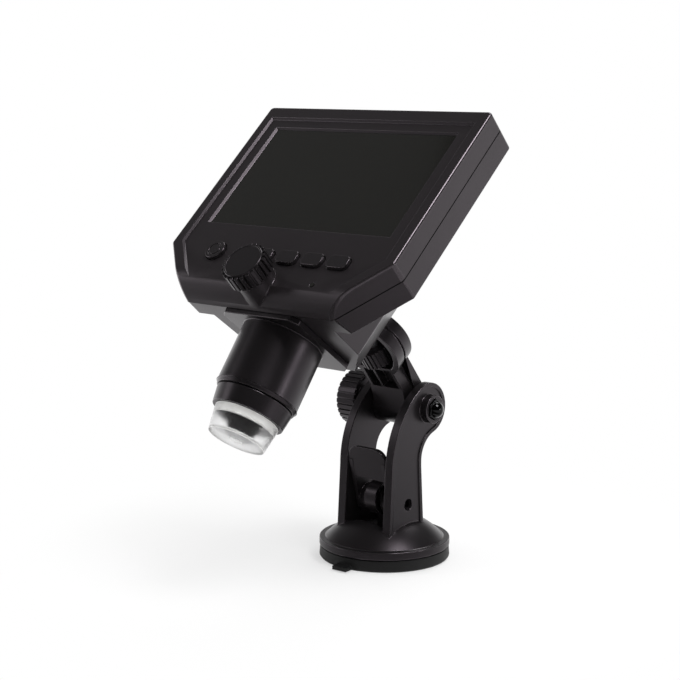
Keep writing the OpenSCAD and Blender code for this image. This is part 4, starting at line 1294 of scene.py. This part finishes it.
@dataclass
class CameraBarrel:
    """The camera barrel with its nose ring, lamps, lenses and clear cap."""

    edges: SoftEdges = field(default_factory=lambda: SoftEdges(0.3, rim=0.0))
    cap_edges: SoftEdges = field(default_factory=lambda: SoftEdges(0.25))
    lamps: int = 8
    lamp_side: float = 2.0

    def build(self, frame: Frame, lamp_ring: Growth) -> None:
        """Dresses the barrel.

        Args:
            frame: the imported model.
            lamp_ring: the lamps' tree.
        """
        self.edges.copy(frame, "barrel", BLACK, BLACK_EDGE_HIGHLIGHT)
        self._pale_faces(frame, self.edges.copy(frame, "nose_ring", BLACK, BLACK_EDGE_HIGHLIGHT))
        self.edges.copy(frame, "lens_carriage", NOSE, NOSE)
        self.cap_edges.copy(frame, "clear_cap", CLEAR, CAP_EDGE)
        dress(frame, LENS, ["front_lens", "rear_lens"])
        # The light board gets a painted glow
        dress(frame, PAINTED_GLOW_BOARD, ["light_board"])
        dress(frame, STEEL, ["barrel_screws"])
        self._lamps(frame, lamp_ring)

    def _pale_faces(self, frame: Frame, ring: bpy.types.Object) -> None:
        """Gives the nose ring's bore, and its part inside the clear cap, a pale finish.

        Args:
            frame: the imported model.
            ring: the nose ring's piece.
        """
        up = frame.axis("lens_slide")
        rim = frame.along("clear_cap", up)[1]
        middle = frame.middle("light_leds")
        ring.data.materials.append(PALE_RING.material())
        for face in ring.data.polygons:
            arm = face.center - middle
            outward = arm - up * arm.dot(up)
            if face.center.dot(up) < rim or face.normal.dot(outward) < 0:
                face.material_index = len(ring.data.materials) - 1

    def _lamps(self, frame: Frame, lamp_ring: Growth) -> None:
        """Grows the ring of lamps on the light board.

        Args:
            frame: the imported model.
            lamp_ring: the lamps' tree.
        """
        up = frame.axis("lens_slide")
        low, high = frame.along("light_leds", up)
        middle = frame.middle("light_leds")
        spots = frame.islands("light_leds")
        centre = middle + up * ((low + high) / 2 - middle.dot(up))
        radius = sum((spot - centre).length for spot in spots) / len(spots)
        sizes = {
            "Lamps": self.lamps,
            "Ring radius": radius,
            "Side": self.lamp_side * MM,
            "Height": high - low,
        }
        piece = lamp_ring.grow("light_leds_form", points_mesh("lamp_middle", [Vector()]), sizes, GLOWING)
        half_pitch = Matrix.Rotation(math.pi / self.lamps, 4, "Z")
        piece.data.transform(basis(centre, up) @ half_pitch)
        frame.stand_in(piece, "light_leds")
        LOG.info("light_leds: %d lamps at %.1f mm", self.lamps, radius / MM)


@dataclass
class FocusDrive:
    """The focus knob, its shaft and its pinion; sizes are in millimetres.

    The knob's crown is the rounded edge of its face, inward and down, and the bend is the crown's
    middle point. Inside its ledge the face slopes into a shallow dish.
    """

    knob: Grip = field(
        default_factory=lambda: Grip("focus_knob", "focus_turn", 24, 1.1, 0.62, (0.0, 0.5), 0.2)
    )
    bore: float = 1.53
    crown: tuple[float, float] = (0.3, 0.4)
    bend: tuple[float, float] = (0.06, 0.15)
    ledge: float = 0.7
    slope: float = 0.15
    dish: float = 0.12
    web: float = 2.0

    def build(self, frame: Frame, grips: Growth) -> None:
        """Dresses the drive.

        Args:
            frame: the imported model.
            grips: the ribbed grips' tree.
        """
        dress(frame, STEEL, ["focus_shaft"])
        dress(frame, BRASS, ["focus_pinion"])
        outward = frame.axis(self.knob.joint)
        foot, radius, length = self.knob.measure(frame, outward)
        core = radius - self.knob.depth
        face = length - self.dish
        profile = [
            (self.bore, 0.0),
            (core, 0.0),
            (core, length - self.crown[1]),
            (core - self.bend[0], length - self.bend[1]),
            (core - self.crown[0], length),
            (core - self.ledge, length),
            (core - self.ledge - self.slope, face),
            (0.0, face),
            (0.0, length - self.web),
            (self.bore, length - self.web),
            (self.bore, 0.0),
        ]
        self.knob.build(frame, grips, basis(foot, outward), profile, radius, length)


@dataclass(frozen=True)
class Softbox:
    """A square lamp, its direction and distance from the object in metres, and its power in watts."""

    name: str
    toward: tuple[float, float, float]
    far: float
    size: float
    power: float

    def hang(self, middle: Vector) -> None:
        """Hangs the lamp so that it faces the object's middle.

        Args:
            middle: the object's middle.
        """
        data = bpy.data.lights.new(self.name, "AREA")
        data.shape = "SQUARE"
        data.size = self.size
        data.energy = self.power
        lamp = bpy.data.objects.new(self.name, data)
        direction = Vector(self.toward).normalized()
        lamp.location = middle + direction * self.far
        lamp.rotation_euler = direction.to_track_quat("Z", "Y").to_euler()
        bpy.context.scene.collection.objects.link(lamp)


DIM = 0.04
GLARE = 1.35


@dataclass
class Studio:
    """The camera, the floor, the background and the lamps; sizes are in metres.

    What shines mirrors a bright backdrop behind the object and a dim room before it. The spans say
    where the one fades into the other, and where the floor fades from its shadow into white.
    """

    eye: tuple[float, float, float] = (0.4363, -0.5247, 0.2049)
    right: tuple[float, float, float] = (0.751, 0.6607, 0.0)
    back: tuple[float, float, float] = (0.652, -0.7411, 0.162)
    lens: float = 87.17
    sensor: float = 36.0
    front: tuple[float, float, float] = (0.66, -0.75, 0.0)
    middle: tuple[float, float, float] = (0.0, -0.03, 0.1)
    ambient: float = 0.6
    floor_size: float = 30.0
    floor_drop: float = 0.0002
    floor_colour: Colour = (0.95, 0.95, 0.95)
    floor_white: Span = Span(0.03, 0.16, 0.5)
    floor_mirror: Span = Span(0.03, 0.06)
    floor_depth: Span = Span(-0.1, 0.06, GLARE, DIM)
    floor_strip: Span = Span(0.09, 0.14, 0.0, 0.6)
    sky_depth: Span = Span(-0.3, 0.3, GLARE, DIM)
    sky_height: Span = Span(0.05, 0.4, 1.0, DIM)
    lamps: tuple[Softbox, ...] = (
        Softbox("key_softbox", (0.5, -0.02, 0.865), 1.3, 0.5, 9.0),
        Softbox("left_softbox", (-0.72, -0.55, 0.42), 1.5, 0.45, 1.5),
        Softbox("top_softbox", (-0.75, 0.2, 0.63), 1.5, 0.9, 0.35),
        Softbox("right_softbox", (0.95, 0.28, 0.08), 1.3, 0.25, 1.3),
        Softbox("rear_softbox", (-0.2, 0.58, 0.79), 1.5, 0.6, 4.0),
    )

    def build(self) -> None:
        """Sets up the whole studio."""
        bpy.context.scene.view_settings.view_transform = "Standard"
        self._camera()
        self._floor()
        self._world()
        for lamp in self.lamps:
            lamp.hang(Vector(self.middle))

    def _camera(self) -> None:
        """Puts the camera where the photograph was taken from."""
        data = bpy.data.cameras.new("camera")
        data.lens = self.lens
        data.sensor_width = self.sensor
        data.sensor_fit = "HORIZONTAL"
        camera = bpy.data.objects.new("camera", data)
        right = Vector(self.right).normalized()
        back = Vector(self.back).normalized()
        up = back.cross(right).normalized()
        turn = Matrix((up.cross(back), up, back)).transposed().to_4x4()
        camera.matrix_world = Matrix.Translation(Vector(self.eye)) @ turn
        bpy.context.scene.collection.objects.link(camera)
        bpy.context.scene.camera = camera

    @staticmethod
    def _rays(graph: Graph) -> tuple[Sock, Sock]:
        """Tells apart the rays that see the backdrop.

        Args:
            graph: the graph to add to.

        Returns:
            One for camera and see-through rays, and one for mirror rays.
        """
        path = graph.add("ShaderNodeLightPath", {}, {})
        names = ("Is Camera Ray", "Is Transmission Ray", "Transmission Depth", "Is Glossy Ray")
        camera, through, depth, glossy = (Sock(graph, path.outputs[name]) for name in names)
        seen = (camera + through + depth) > 0.5
        return seen, glossy * (1.0 - seen)

    def _ahead(self, graph: Graph, spot: Sock) -> Sock:
        """Measures how far a place or a direction lies before the object."""
        inputs = {0: spot, 1: self.front}
        return graph.node("ShaderNodeVectorMath", {"operation": "DOT_PRODUCT"}, inputs, "Value")

    def _floor(self) -> None:
        """Lays a pale floor that takes the shadow near the object and fades to white far off."""
        half = self.floor_size / 2
        mesh = bpy.data.meshes.new("floor")
        corners = [(-half, -half, 0), (half, -half, 0), (half, half, 0), (-half, half, 0)]
        mesh.from_pydata(corners, [], [(0, 1, 2, 3)])
        floor = link("floor", mesh)
        floor.location.z = -self.floor_drop
        material = bpy.data.materials.new("floor_white")
        graph = blank(material)
        spot = graph.node("ShaderNodeTexCoord", {}, {}, "Object")
        far = graph.node("ShaderNodeVectorMath", {"operation": "LENGTH"}, {0: spot}, "Value")
        aside = graph.node("ShaderNodeSeparateXYZ", {}, {"Vector": spot}, "X")
        seen, glossy = self._rays(graph)
        behind = graph.ramp(self._ahead(graph, spot), self.floor_depth)
        strip = graph.ramp(aside, self.floor_strip)
        mirror = graph.node("ShaderNodeMath", {"operation": "MAXIMUM"}, {0: behind, 1: strip})
        level = 1.0 - glossy * (1.0 - mirror)
        matt = graph.node("ShaderNodeBsdfDiffuse", {}, {"Color": tint(self.floor_colour, 1.0)})
        white = graph.node("ShaderNodeEmission", {}, {"Color": WHITE, "Strength": level})
        share = graph.ramp(far, self.floor_white) * seen + graph.ramp(far, self.floor_mirror) * glossy
        shader = graph.node("ShaderNodeMixShader", {}, {0: share, 1: matt, 2: white})
        graph.add("ShaderNodeOutputMaterial", {}, {"Surface": shader})
        mesh.materials.append(material)
        floor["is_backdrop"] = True

    def _world(self) -> None:
        """Makes a white background, with a plain soft light from all round."""
        world = bpy.data.worlds.new("studio")
        graph = blank(world)
        spot = graph.node("ShaderNodeTexCoord", {}, {}, "Generated")
        height = graph.node("ShaderNodeSeparateXYZ", {}, {"Vector": spot}, "Z")
        behind = graph.ramp(self._ahead(graph, spot), self.sky_depth)
        mirror = graph.ramp(height, self.sky_height) * behind
        seen, glossy = self._rays(graph)
        unseen = glossy * mirror + (1.0 - glossy) * self.ambient
        level = seen + (1.0 - seen) * unseen
        shader = graph.node("ShaderNodeBackground", {}, {"Color": WHITE, "Strength": level})
        graph.add("ShaderNodeOutputWorld", {}, {"Surface": shader})
        bpy.context.scene.world = world


def main() -> None:
    """Builds the studio and dresses each sub-assembly in turn."""
    logging.basicConfig(level=logging.INFO, format="%(name)s: %(message)s")
    frame = Frame()
    Studio().build()
    grips = grip_tree()
    screws = screw_tree()
    Stand().build(frame, grips)
    Arm().build(frame, grips, screws)
    ScreenHead().build(frame, screws)
    CameraBarrel().build(frame, lamp_tree())
    FocusDrive().build(frame, grips)


if __name__ == "__main__":
    main()
